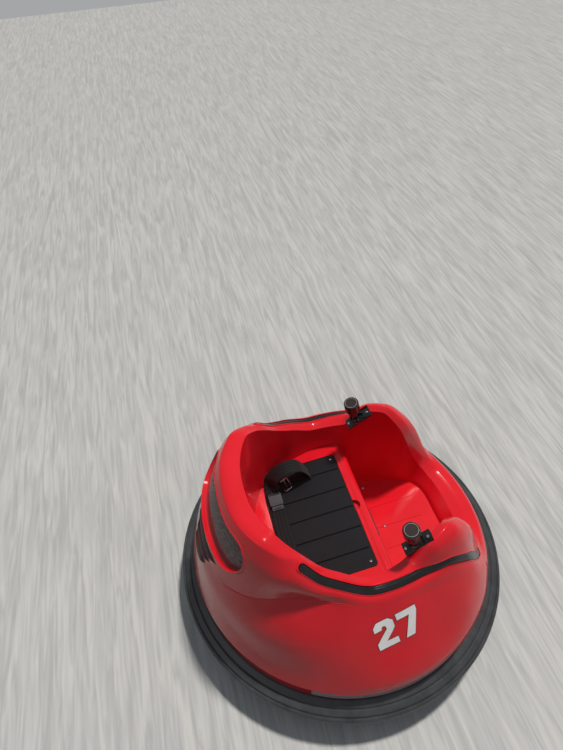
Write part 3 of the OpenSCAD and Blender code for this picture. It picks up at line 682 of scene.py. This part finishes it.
# Light strips: a white lamp tape behind a clear polycarbonate window along each side of the band,
# clipped into the tub. By day they are unlit.
def clear_plastic(name, colour, rough, alpha):
    """Clear or smoked plastic: a glassy skin that lets part of what lies behind show."""
    made = bpy.data.materials.new(name)
    tree, place = blank(made)
    haze = add(tree, "ShaderNodeTexNoise", {"Scale": 30.0, "Detail": 6.0}, {"Vector": place["Object"]})
    gloss = add(tree, "ShaderNodeMapRange", {"To Min": rough, "To Max": rough + 0.12}, {"Value": haze})
    veil = add(tree, "ShaderNodeMapRange",
               {"From Min": 0.3, "From Max": 0.8, "To Min": alpha, "To Max": alpha + 0.08}, {"Value": haze})
    skin = add(tree, "ShaderNodeBsdfPrincipled", {"Base Color": srgb(colour), "IOR": 1.58},
               {"Roughness": gloss, "Alpha": veil})
    add(tree, "ShaderNodeOutputMaterial", links={"Surface": skin})
    return made


def fillet_round(points, radius, steps=5):
    """A closed 2-D outline with its corners made round, from the middle of its last side on."""
    middle = (Vector(points[0]) + Vector(points[-1])) / 2
    return fillet([middle] + points + [middle], radius, steps)[:-1]


def start_tool(name, **sockets):
    """A geometry tree with the named inputs besides its geometry, and those inputs."""
    tree = bpy.data.node_groups.new(name, "GeometryNodeTree")
    for label, kind in {"Geometry": "Geometry", **sockets}.items():
        tree.interface.new_socket(label, in_out="INPUT", socket_type="NodeSocket" + kind)
    tree.interface.new_socket("Geometry", in_out="OUTPUT", socket_type="NodeSocketGeometry")
    return tree, add(tree, "NodeGroupInput").outputs


def end_tool(tree, inputs, placed):
    """Makes a tree's instances real, gives them the finish and ends the tree."""
    real = add(tree, "GeometryNodeRealizeInstances", links={"Geometry": placed})
    painted = add(tree, "GeometryNodeSetMaterial", links={"Geometry": real, "Material": inputs["Finish"]})
    add(tree, "NodeGroupOutput", links={"Geometry": painted})
    return tree


def apply_tool(piece, tree, **values):
    """Runs a geometry tree on a piece, with its named inputs set by their socket identifiers."""
    step = piece.modifiers.new(tree.name, "NODES")
    step.node_group = tree
    for item in tree.interface.items_tree:
        if item.item_type == "SOCKET" and item.in_out == "INPUT" and item.name in values:
            step[item.identifier] = values[item.name]
    return settle(piece)


def spread_tree():
    """A tree that puts one fitting on every point of a mesh, facing the way stored at that point."""
    tree, inputs = start_tool("fittings_on_points", Fitting="Object", Finish="Material")
    facing, across = (add(tree, "GeometryNodeInputNamedAttribute", {"Name": name}, data_type="FLOAT_VECTOR")
                      for name in ("facing", "across"))
    turn = add(tree, "FunctionNodeAxesToRotation", links={"Primary Axis": facing, "Secondary Axis": across},
               primary_axis="Z", secondary_axis="X")
    one = add(tree, "GeometryNodeObjectInfo", links={"Object": inputs["Fitting"]}).outputs["Geometry"]
    placed = add(tree, "GeometryNodeInstanceOnPoints",
                 links={"Points": inputs["Geometry"], "Instance": one, "Rotation": turn})
    return end_tool(tree, inputs, placed)


FITTINGS = spread_tree()


def fittings(name, fitting, places, material, body="root", smooth=40):
    """Copies of one fitting at places given as (spot in mm, way out, way across)."""
    mesh = bpy.data.meshes.new(name)
    mesh.from_pydata([tuple(Vector(spot) * MM) for spot, _, _ in places], [], [])
    for label, column in (("facing", 1), ("across", 2)):
        data = mesh.attributes.new(label, "FLOAT_VECTOR", "POINT").data
        for item, row in zip(data, places):
            item.vector = Vector(row[column]).normalized()
    made = apply_tool(show(name, mesh), FITTINGS, Fitting=fitting, Finish=material)
    bpy.data.objects.remove(fitting, do_unlink=True)
    return finish_piece(made, material, body, smooth=smooth)


SIDES = ((1, "left"), (-1, "right"))
LAMP_R, LAMP_Z, LAMPS = 328.9, (STRIP_LOW + STRIP_HIGH) / 2, 24
window_clear = clear_plastic("clear_polycarbonate", "#dfe4e6", 0.08, 0.42)
tape_white = surface("white_lamp_tape", "#e3e5e4", "#cfd2d1", 0.45)
lamp_amber = surface("lamp_phosphor", "#e9dc9a", "#dccb7c", 0.3)
window_profile = fillet_round(oblong(STRIP_FACE - 1.9, STRIP_LOW, STRIP_FACE, STRIP_HIGH), 0.7, 3)
tape_profile = oblong(STRIP_BACK + 0.05, STRIP_LOW + 1, LAMP_R, STRIP_HIGH - 1)
for side, name in SIDES:
    finish_piece(sector(name + "_strip_window", window_profile, side), window_clear,
                 stands_for=[name + "_light_strip"])
    finish_piece(sector(name + "_lamp_tape", tape_profile, side), tape_white)
    one_lamp = prism("lamp", fillet_round(oblong(-2.5, -2.5, 2.5, 2.5), 0.8, 2), 0, 1.2)
    spots = [polar(LAMP_R, STRIP_FROM + 1.5 + (STRIP_TO - STRIP_FROM - 3) * k / (LAMPS - 1), LAMP_Z)
             for k in range(LAMPS)]
    places = [((side * x, y, z), (side * x, y, 0), (0, 0, 1)) for x, y, z in spots]
    fittings(name + "_strip_lamps", one_lamp, places, lamp_amber)


# Stripes: glossy black PVC bands let into a groove that runs from the rear quarter down each arm.
# The crown is domed, with one groove along it.
gloss_black = surface("gloss_black_vinyl", "#161719", "#0c0d0e", 0.14, 0.12)


def stripe_section(half):
    crown = ((1, -0.4), (0.93, 0.1), (0.78, 0.45), (0.52, 0.6), (0.4, 0.1), (0.26, 0.62), (-0.2, 0.7),
             (-0.55, 0.55), (-0.78, 0.3), (-0.93, 0), (-1, -0.4))
    return [(-half, -2.1), (half, -2.1)] + [(half * u, v) for u, v in crown]


for side, name in SIDES:
    finish_piece(stripe_run(name + "_stripe_band", stripe_section, side), gloss_black,
                 stands_for=[name + "_stripe"])


# Rear claws: three black crescents of moulded PVC pressed into pockets under the rear lens, in the
# same gloss black as the stripes.
claws = [claw_inlay(*claw) for claw in CLAWS]
claw_set = carve(claws[0], claws[1:], "UNION")
claw_set.name = "rear_claws_inlay"
finish_piece(claw_set, gloss_black, stands_for=["rear_claws"])


# Rear lamp: a dark red honeycomb reflector behind a smoked acrylic lens, which sits in the
# body's collar.
smoked = clear_plastic("smoked_acrylic", "#6e6566", 0.06, 0.3)
lens = from_behind("rear_lens_cover", lens_shape(-0.2), 5.5, 2.5)
finish_piece(lens, smoked, stands_for=["rear_lens"])
honeycomb_red = surface("dark_red_reflector", "#a5252b", "#7d191e", 0.22, coat=0.4)
reflector = from_behind("reflector_plate", lens_shape(-0.2), 13.7, 12.2)
finish_piece(reflector, honeycomb_red, stands_for=["lens_reflector"])
CELL, CELL_DEPTH = 15.0, 12.3
hexagon = [(cos(radians(60 * k + 30)), sin(radians(60 * k + 30))) for k in range(6)]
cell = hoop("cell", [[(x * r, y * r, z) for x, y in hexagon]
                     for r, z in ((8.4, 0), (8.4, 3.6), (7.6, 4.0), (6.9, 3.6), (5.2, 0.4))])
cells = []
for row in range(-3, 4):
    for column in range(-9, 10):
        x, z = (column + (row % 2) / 2) * CELL, LENS_Z + row * CELL * 0.866
        if hypot(max(abs(x) - LENS_X, 0), z - LENS_Z) < LENS_R - 6.5:
            spot, out = seen_from_rear(x, z)
            flat = Vector((out.x, out.y, 0)).normalized()
            cells.append((spot - flat * CELL_DEPTH, flat, (0, 0, 1)))
fittings("honeycomb_cells", cell, cells, honeycomb_red, smooth=20)


# Race number: a white vinyl cut-out with a thin dark edge on each flank, laid over the bulge.
# Each digit is where it starts and its outline, both in parts of its height.
DIGITS = (
    (-0.36, [(0.02, 0.68), (0.02, 0.86), (0.14, 1), (0.48, 1), (0.6, 0.88), (0.6, 0.62), (0.5, 0.48),
             (0.27, 0.22), (0.6, 0.22), (0.6, 0), (0, 0), (0, 0.24), (0.37, 0.64), (0.37, 0.74),
             (0.33, 0.79), (0.28, 0.79), (0.24, 0.74), (0.24, 0.68)]),
    (0.34, [(0, 0.77), (0, 1), (0.6, 1), (0.6, 0.82), (0.36, 0), (0.1, 0), (0.36, 0.77)]))
NUMBER_H, NUMBER_WIDEN, NUMBER_X, NUMBER_Z = 56, 1.25, 268, 244


def grown(outline, by):
    """An outline moved out by a distance all round."""
    made = []
    n = len(outline)
    area = sum(outline[i - 1][0] * outline[i][1] - outline[i][0] * outline[i - 1][1] for i in range(n))
    turn = 1 if area > 0 else -1
    for i in range(n):
        a, b, c = (Vector(outline[k % n]) for k in (i - 1, i, i + 1))
        u, v = (b - a).normalized(), (c - b).normalized()
        nu, nv = Vector((u.y, -u.x)) * turn, Vector((v.y, -v.x)) * turn
        mitre = (nu + nv).normalized()
        made.append(tuple(b + mitre * by / max(mitre.dot(nu), 0.5)))
    return made


def decal(name, outline, side, lift, material):
    """A thin sheet cut to an outline (forward, up) in mm, wrapped on the flank."""
    work = bmesh.new()
    work.faces.new([work.verts.new((x, y, 0)) for x, y in outline])
    work.normal_update()
    bmesh.ops.triangulate(work, faces=work.faces[:])
    for _ in range(5):
        long_edges = [e for e in work.edges if e.calc_length() > 3.0]
        if not long_edges:
            break
        bmesh.ops.subdivide_edges(work, edges=long_edges, cuts=1)
        bmesh.ops.triangulate(work, faces=work.faces[:])
    mesh = bpy.data.meshes.new(name)
    work.to_mesh(mesh)
    work.free()
    made = show(name, mesh)
    # The flank leans in; `way` runs straight into it and `up` along it.
    way, up = Vector((-side * 0.83, 0, -0.56)).normalized(), Vector((-side * 0.56, 0, 0.83)).normalized()
    for v in mesh.vertices:
        spot, out = on_wall(Vector((side * NUMBER_X, -v.co.x, NUMBER_Z)) + up * v.co.y - way * 120, way)
        v.co = (spot + out * lift) * MM
    step = made.modifiers.new("thickness", "SOLIDIFY")
    step.thickness, step.offset = 0.25 * MM, -1
    settle(made)
    turn_outwards(made.data)
    return finish_piece(made, material)


vinyl_white = surface("white_vinyl", "#f4f3f2", "#e6e4e4", 0.28)
vinyl_dark = surface("dark_vinyl_edge", "#2a1a1e", "#1c1114", 0.3)
for side, name in SIDES:
    for k, (start, outline) in enumerate(DIGITS):
        spots = []
        for x, y in outline:
            u, v = (start + x) * NUMBER_H * NUMBER_WIDEN, (y - 0.5) * NUMBER_H
            # The number runs uphill to the front, so it is turned by about 10 degrees.
            spots.append((-side * (u * 0.985 - v * 0.17), v * 0.985 + u * 0.17))
        decal("%s_number_edge_%d" % (name, k), grown(spots, 1.1), side, 0.32, vinyl_dark)
        decal("%s_number_%d" % (name, k), spots, side, 0.55, vinyl_white)


# Seat panel: one matt black ABS moulding with five pressed grooves, laid into the seat and held
# by a plated screw at each front corner.
def layers(name, outline, steps, turn):
    """A slab built of one outline at several heights, each (grow, height)."""
    return loft(name, [[turn @ Vector((x, y, z)) for x, y in outline(grow)] for grow, z in steps])


panel = layers("seat_panel_moulding", panel_outline,
               [(0, -6.7), (0, -1.6), (-0.2, -0.8), (-0.8, -0.2), (-1.6, 0)], IN_SEAT)
flank = [(-2.3, 1), (-2.3, 0.02), (-1.7, -0.4), (-1.5, -2.3), (-1.1, -2.8)]
groove = flank + [(-x, z) for x, z in reversed(flank)]
carve(panel, [prism("groove", groove, -146, 29, IN_SEAT @ Matrix.Translation((50 * k, 0, 0)) @ TO_REAR)
              for k in range(-2, 3)])
panel_black = surface("matt_black_abs", "#14151a", "#0f1014", 0.62, 0.12, grain=0.35, grain_mm=1.1)
finish_piece(panel, panel_black, stands_for=["seat_panel"])
zinc = surface("bright_zinc_plate", "#d5d7d9", "#b3b6b9", 0.2, 0.15, metal=1.0)


def screws(name, across, high, spots, out, slot_way):
    """Plated pan-head screws with a cross slot, standing out of a surface at the given spots."""
    r = across / 2
    rim = ((1, -0.4), (1, 0.25), (0.9, 0.62), (0.7, 0.86), (0.4, 0.98))
    rings = [[polar(r * w, 15 * k, high * h) for w, h in rim] for k in range(24)]
    head = loft("screw", rings, ((0, 0, -0.4 * high), (0, 0, high)))
    arm, slit = r * 0.62, r * 0.14
    carve(head, [block((-x, -y, high * 0.3), (x, y, high * 2)) for x, y in ((arm, slit), (slit, arm))])
    return fittings(name, head, [(spot, out, slot_way) for spot in spots], zinc)


seat_up = IN_SEAT.col[2].xyz
screws("seat_screws", 7.0, 2.2, [IN_SEAT @ Vector((x, -21, 0.3)) for x in (-129, 129)], seat_up, (1, 0.3, 0))


# Controls on the seat's front wall: a gloss black ABS plate with a rocker switch and a plated
# charge socket, held by two small screws. Three more screws hold the footwell down.
black_abs = surface("gloss_black_abs", "#202124", "#141517", 0.16, 0.16)


def dress(material, *names):
    """Gives CAD pieces that stay as they are their material."""
    for name in names:
        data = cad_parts[name].data
        data.materials.clear()
        data.materials.append(material)


dress(black_abs, "control_panel")
dress(zinc, "charge_socket")
rocker_side = [(-58, 203.8), (-65.6, 203.8), (-66.9, 204.6), (-66.2, 207.5), (-65.0, 211), (-65.4, 214.5),
               (-66.9, 217.2), (-65.8, 218.2), (-58, 218.2)]
finish_piece(prism("rocker_switch", rocker_side, -68.2, -47.8, TO_SIDE), black_abs,
             stands_for=["power_switch"])
screws("plate_screws", 4.6, 1.5, [(x, -64, 211) for x in (-71.0, -13.0)], (0, -1, 0), (1, 0.4, 0))
spots = [IN_FLOOR @ Vector((x, y, 0.1)) for x, y in ((114, -46), (0, -58), (-114, -46))]
screws("footwell_screws", 7, 1.8, spots, IN_FLOOR.col[2].xyz, (1, 0.6, 0))


# Safety belt: black polyester webbing screwed down at its right end, with a nylon side-release
# buckle and a plated slide, left lying folded on the seat with one end standing in a loop.
def webbing():
    """Woven polyester: dull black with close ribs across, whose crests are painted paler as a painted highlight
    of light raking them.
    """
    made = bpy.data.materials.new("black_polyester_webbing")
    tree, _ = blank(made)
    at = {"Vector": add(tree, "ShaderNodeUVMap", uv_map="weave")}
    # Real ribs are 1.1 mm apart; drawn at 2.6 mm so that they show at this size.
    ribs = add(tree, "ShaderNodeTexWave", {"Scale": 1000 / 2.6 / 6.2832, "Distortion": 0.6, "Detail": 1.0}, at,
               wave_type="BANDS", bands_direction="X").outputs["Fac"]
    cross = add(tree, "ShaderNodeTexWave", {"Scale": 1000 / 4.0 / 6.2832, "Distortion": 0.3}, at,
                wave_type="BANDS", bands_direction="Y").outputs["Fac"]
    weave = add(tree, "ShaderNodeMath", links={0: ribs, 1: cross}, operation="MULTIPLY")
    # The weave's crests are painted lighter, a painted highlight of raking light.
    shade = add(tree, "ShaderNodeValToRGB", links={"Fac": weave}, stops=((0, "#101112"), (1, "#25272a")))
    bump = add(tree, "ShaderNodeBump", {"Strength": 0.7, "Distance": 0.0006}, {"Height": weave})
    skin = add(tree, "ShaderNodeBsdfPrincipled",
               {"Roughness": 0.78, "Sheen Weight": 0.15, "Sheen Roughness": 0.4},
               {"Base Color": shade, "Normal": bump})
    add(tree, "ShaderNodeOutputMaterial", links={"Surface": skin})
    return made


def ribbon(name, path, width, thick, steps=10):
    """Webbing along points (spot, way across) on the seat, with its weave mapped in metres."""
    spots, ways = [Vector(p) for p, _ in path], [Vector(w).normalized() for _, w in path]
    line = []
    for i, (a, b) in enumerate(zip(spots, spots[1:])):
        u = (b - spots[i - 1]) / 2 if i else b - a
        v = (spots[i + 2] - a) / 2 if i + 2 < len(spots) else b - a
        for s in [k / steps for k in range(steps + (i + 2 == len(spots)))]:
            line.append((eased(a, b, u, v, s), (ways[i] * (1 - s) + ways[i + 1] * s).normalized()))
    w, t = width / 2, thick / 2
    section = [(-w, 0), (-w + 0.5, -t), (-w / 2, -t), (0, -t), (w / 2, -t), (w - 0.5, -t)]
    section += [(-x, -y) for x, y in section]
    rings, travel = [], []
    for i, (spot, way) in enumerate(line):
        along = (line[min(i + 1, len(line) - 1)][0] - line[max(i - 1, 0)][0]).normalized()
        across = (way - along * way.dot(along)).normalized()
        rings.append([IN_SEAT @ (spot + across * x + across.cross(along) * y) for x, y in section])
        travel.append(travel[-1] + (spot - line[i - 1][0]).length if i else 0.0)
    made = loft(name, rings)
    layer = made.data.uv_layers.new(name="weave")
    m = len(section)
    for loop, corner in zip(made.data.loops, layer.data):
        corner.uv = (travel[loop.vertex_index // m] * MM, section[loop.vertex_index % m][0] * MM)
    return finish_piece(made, black_webbing, stands_for=BELT_NODES.get(name, ()), smooth=50)


black_webbing = webbing()
BELT_NODES = {"belt_loop": ["strap_left"], "belt_lap_strap": ["strap_right"], "buckle_body": ["belt_buckle"]}
LOOP_WAY, FLAT_WAY, TAIL_WAY = (0.9925, 0.1219, 0), (0, 1, 0), (1, 0.2, 0)
ribbon("belt_loop", [((83, 128, 3.4), FLAT_WAY), ((92, 129, 4.4), (0.15, 1, 0)),
                     ((101, 129, 12), (0.5, 0.86, 0)), ((103, 124, 30), (0.86, 0.5, 0))]
       + [(spot, LOOP_WAY) for spot in ((105, 106, 48), (107, 84, 54), (109, 60, 46), (111, 46, 24),
                                        (111, 40, 8), (110, 36.5, 1.4))], 36, 1.7)
ribbon("belt_lap_strap", [((44, 128, 4.0), FLAT_WAY), ((36, 128, 2.6), FLAT_WAY), ((20, 129, 1.4), FLAT_WAY),
                          ((-6, 130, 1.8), (0.04, 1, 0)), ((-34, 130, 1.3), (0.03, 1, 0)),
                          ((-70, 130, 1.3), FLAT_WAY)], 32, 1.7)
ribbon("belt_slide_tail", [(spot, TAIL_WAY) for spot in (
    (98, 122, 2.0), (96, 110, 5), (94, 98, 5), (93, 90, 2.2), (92, 78, 1.2))], 22, 1.5)
screws("belt_anchor", 9, 2.4, [IN_SEAT @ Vector((-62, 130, 2.6))], seat_up, (1, 0.5, 0))


def round_box(name, lo, hi, corner, edge, turn):
    """A block with round upright corners and a small round edge on top and below."""
    steps = [(-edge, lo[2]), (-0.3 * edge, lo[2] + 0.3 * edge), (0, lo[2] + edge)]
    steps += [(grow, lo[2] + hi[2] - z) for grow, z in reversed(steps)]
    return layers(name, lambda grow: round_plan(lo, hi, (corner, 6), (corner, 6), grow), steps, turn)


black_nylon = surface("satin_black_nylon", "#505356", "#3f4144", 0.26, 0.12)
# The buckle's body with its side windows and top slot, the prongs inside and the plug's bar.
for name, lo, hi, corner, edge, holes in (
        ("buckle_body", (50, 113, 1.0), (80.5, 143, 9.2), 4, 1.6,
         (((56, 108, 2.6), (70, 116.5, 7.6)), ((56, 139.5, 2.6), (70, 148, 7.6)),
          ((76, 116, 4.4), (78.6, 140, 12)))),
        ("buckle_prongs", (57, 114, 3.0), (69, 142, 7.2), 2.5, 1.0, (((52, 119, 0), (75, 137, 12)),)),
        ("buckle_plug", (39.2, 115, 1.2), (49.6, 141, 7.6), 2.2, 1.2, (((41.2, 118, 5.0), (43.6, 138, 12)),))):
    part = carve(round_box(name, lo, hi, corner, edge, IN_SEAT), [block(a, b, IN_SEAT) for a, b in holes])
    finish_piece(part, black_nylon, stands_for=BELT_NODES.get(name, ()))
slide_turn = IN_SEAT @ Matrix.Translation((95, 96, 6.5)) @ rotation(12, "Z") @ rotation(-14, "X")
slide_line = [p.to_3d() for p in fillet_round([(14, -9), (14, 9), (-14, 9), (-14, -9)], 3, 4)]
wire, up, rings = arc(0, 0, 1.5, 0, 324, 9), Vector((0, 0, 1)), []
for i, spot in enumerate(slide_line):
    along = (slide_line[(i + 1) % len(slide_line)] - slide_line[i - 1]).normalized()
    rings.append([slide_turn @ (spot + up.cross(along) * u + up * v) for u, v in wire])
finish_piece(hoop("belt_slide", rings), zinc)
finish_piece(prism("belt_slide_bar", wire, -13, 13, slide_turn @ rotation(90, "Y")), zinc)


# Joysticks: a gloss black ABS base screwed to the top of each arm, with a boss that carries the
# lever on a cross pin, and a moulded knob dished on top.
def spun(name, profile, turn, steps=64):
    """A profile (radius, height) from one end of an axis to the other, turned right round it."""
    rings = [[turn @ Vector(polar(r, 360 * i / steps, z)) for r, z in profile[1:-1]] for i in range(steps)]
    return loft(name, rings, [turn @ Vector((0, 0, profile[k][1])) for k in (0, -1)])


knob_black = surface("polished_black_abs", "#232427", "#17181a", 0.12, 0.12, coat=0.2)
# The dish on top is painted brown-black, a painted reflection of the red body in the black knob. The rim round
# it is painted pale grey, a painted highlight where its edge catches the light.
knob_dish_reflection = surface("painted_reflection_dish_abs", "#372c29", "#292120", 0.3)
knob_rim_highlight = surface("painted_highlight_rim_abs", "#a3a3a1", "#77787a", 0.3)
knob_profile = fillet([(0, 55), (13.2, 55), (13.7, 56), (14.6, 56), (16.5, 54), (16.5, 32.5), (15.6, 31),
                       (12.0, 26.5), (11.5, 24), (11.5, 14), (5.2, 14), (5.2, 20), (0, 20)], 1.4, 4)
for side, name in SIDES:
    turn, lean, rider = in_stick(side), in_stick(side, LEAN), name + "_stick"
    base = round_box(rider + "_plate", (-13, -36, -13), (13, 26, -8), 2.5, 1.0, turn)
    foot = spun("boss", [(0, -12), (12.4, -12), (12.4, 1.4), (12.0, 2.4), (11, 3), (0, 3)], turn)
    pad = round_box("pad", (-12, -14, -12), (12, 15, -4.5), 4, 1.4, turn)
    carve(base, [foot, pad], "UNION")
    # The slot that the lever swings in, the bore of its cross pin, then the slot's floor put back.
    carve(base, [block((-6, -20, -8), (6, 20, 52), lean), disc(2, -30, 30, turn @ rotation(90, "Y"), 24)])
    carve(base, [block((-6.6, -20.6, -12.9), (6.6, 20.6, -11.8), turn)], "UNION")
    finish_piece(base, black_abs, stands_for=[rider + "_base"])
    screws(name + "_base_screws", 6.4, 2.0, [turn @ Vector((0, y, -7.9)) for y in (-28, 20.5)],
           turn.col[2].xyz, (1, 0.7, 0))
    finish_piece(spun(name + "_knob_head", knob_profile, lean), knob_black, body=rider,
                 stands_for=[name + "_knob"])
    # Thin caps on the knob's top carry the painted highlight of the rim and the painted reflection in the dish.
    for part, r, top, finish in (("ring", 13.3, 55.35, knob_rim_highlight), ("disc", 12.2, 55.6, knob_dish_reflection)):
        cap = [(0, 54.4), (r, 54.4), (r, top - 0.2), (r - 0.3, top), (0, top)]
        finish_piece(spun(name + "_knob_" + part, cap, lean), finish, body=rider)
    dress(black_abs, name + "_lever")


# Drive wheels: grey polypropylene hubs on a plated axle, with a hard black tyre whose blocks are
# moulded round the tread. A gearbox with its motor is screwed inside each, by the battery.
def tread_tree():
    """A tree that repeats one block a number of times round an axis along x, about a centre."""
    tree, inputs = start_tool("tread_blocks", Count="Int", Centre="Vector", Finish="Material")
    spots = add(tree, "GeometryNodePoints", links={"Count": inputs["Count"], "Position": inputs["Centre"]})
    index = add(tree, "GeometryNodeInputIndex")
    part = add(tree, "ShaderNodeMath", links={0: index, 1: inputs["Count"]}, operation="DIVIDE")
    angle = add(tree, "ShaderNodeMath", {1: 2 * pi}, {0: part}, operation="MULTIPLY")
    turn = add(tree, "ShaderNodeCombineXYZ", links={"X": angle})
    placed = add(tree, "GeometryNodeInstanceOnPoints",
                 links={"Points": spots, "Instance": inputs["Geometry"], "Rotation": turn})
    return end_tool(tree, inputs, placed)


TREAD = tread_tree()


def both_halves(half):
    """A closed profile (radius, across) from its half on one side of the middle line."""
    return half + [(r, -z) for r, z in reversed(half)]


tyre_black = surface("hard_black_tyre", "#2c2d2f", "#1b1c1e", 0.47, grain_mm=1.6, **RUBBER)
hub_grey = surface("grey_polypropylene", "#6b6e72", "#55585c", 0.38, grain=0.15)
tyre_profile = fillet_round(both_halves([(59.05, -21), (66, -22), (67.4, -20.4), (67.8, -15)]), 1.2, 3)
# A block's or a rib's outline, where it starts and ends along the radius, and how many there are.
TREAD_BLOCK = [(1.2, -3.4), (19.6, 0.2), (19.6, 4.2), (1.2, 0.8)], 67.4, 69.95, 44
HUB_RIB = [(13.5, -1.2), (18.6, -1.0), (18.6, 1.0), (13.5, 1.2)], 14.6, 53.2, 8
for side, name in SIDES:
    centre, rider = (side * WHEEL_X, 0, WHEEL_Z), name + "_wheel_set"
    finish_piece(turned(name + "_tyre_carcass", tyre_profile, 96, on_axle(centre)), tyre_black, rider,
                 [name + "_tyre"])
    for label, (outline, low, high, count), finish, slot in (
            ("tread", TREAD_BLOCK, tyre_black, "tyre_black"), ("hub_ribs", HUB_RIB, hub_grey, "hub_grey")):
        for end, where in ((1, "outer"), (-1, "inner")):
            one = prism("%s_%s_%s" % (name, label, where), [(end * x, y) for x, y in outline], low, high)
            apply_tool(one, TREAD, Count=count, Centre=tuple(v * MM for v in centre), Finish=finish)
            finish_piece(one, finish, rider, smooth=40)
    dress(hub_grey, name + "_wheel")
dress(zinc, "drive_axle")
for side, name in SIDES:
    clip = turned(name + "_axle_clip", oblong(5.02, -0.5, 8, 0.5), 32, on_axle((side * 224.8, 0, WHEEL_Z)))
    finish_piece(clip, zinc)
dress(surface("moulded_grey_nylon", "#46494d", "#35383b", 0.4, grain=0.2),
      "left_gearbox", "right_gearbox", "battery")
for side, name in SIDES:
    spots = [(side * (WHEEL_X - 33.5), y, WHEEL_Z + z) for y, z in arc(0, 0, 20, 45, 315, 3)]
    screws(name + "_gearbox_screws", 5.5, 1.8, spots, (side, 0, 0), (0, 1, 0.3))


# Castors: pressed zinc-plated forks that swivel in black housings under the pan, each with a
# small black wheel on a riveted pin.
CASTOR_TRAIL, CASTOR_R = 15, 22
castor_profile = fillet_round(both_halves([(2.6, -9), (7, -9), (7.6, -6.6), (14.6, -6.6), (15.4, -8.6),
                                           (20, -8.8), (CASTOR_R, -5.5)]), 0.9, 3)
for end, name in ((-1, "front"), (1, "rear")):
    centre = Vector((0, end * CASTOR_Y + CASTOR_TRAIL, CASTOR_R))
    finish_piece(turned(name + "_castor_tread", castor_profile, 64, on_axle(centre)), tyre_black,
                 name + "_roller", [name + "_castor_wheel"])
    dress(zinc, name + "_fork")
    head = spun("rivet", [(0, -0.4), (4.4, -0.4), (4.4, 0.5), (3.2, 1.5), (1.4, 1.9), (0, 2)],
                Matrix.Identity(4), 24)
    places = [(centre + Vector((s * 13.4, 0, 0)), (s, 0, 0), (0, 1, 0)) for s in (1, -1)]
    fittings(name + "_pin_heads", head, places, zinc, name + "_swivel")


# Chassis pan: black moulded polypropylene with a fine grain, ribbed below and screwed up into
# the tub's hem.
chassis_black = surface("grained_black_polypropylene", "#303235", "#222427", 0.48, grain=0.4, grain_mm=1.4)
dress(chassis_black, "chassis_pan", "front_castor_mount", "rear_castor_mount")
ribs = turned("pan_ribs", oblong(296, 36, 299, 38), 160)
spokes = [turned("rib", oblong(150, 36, 153, 38), 96)]
spokes += [block((-1.5, 90, 36), (1.5, 298, 37.9), rotation(11.25 + 22.5 * k, "Z")) for k in range(16)]
carve(ribs, spokes, "UNION")
carve(ribs, [block((x - WELL_W, -WELL_R - 2, 0), (x + WELL_W, WELL_R + 2, 60)) for x in (WHEEL_X, -WHEEL_X)]
      + [disc(52, 0, 60, Matrix.Translation((0, y, 0))) for y in (-CASTOR_Y, CASTOR_Y)])
finish_piece(ribs, chassis_black)
screws("pan_screws", 8, 2.2, [polar(310, 22.5 * k, 38) for k in range(16)], (0, 0, -1), (1, 0.3, 0))
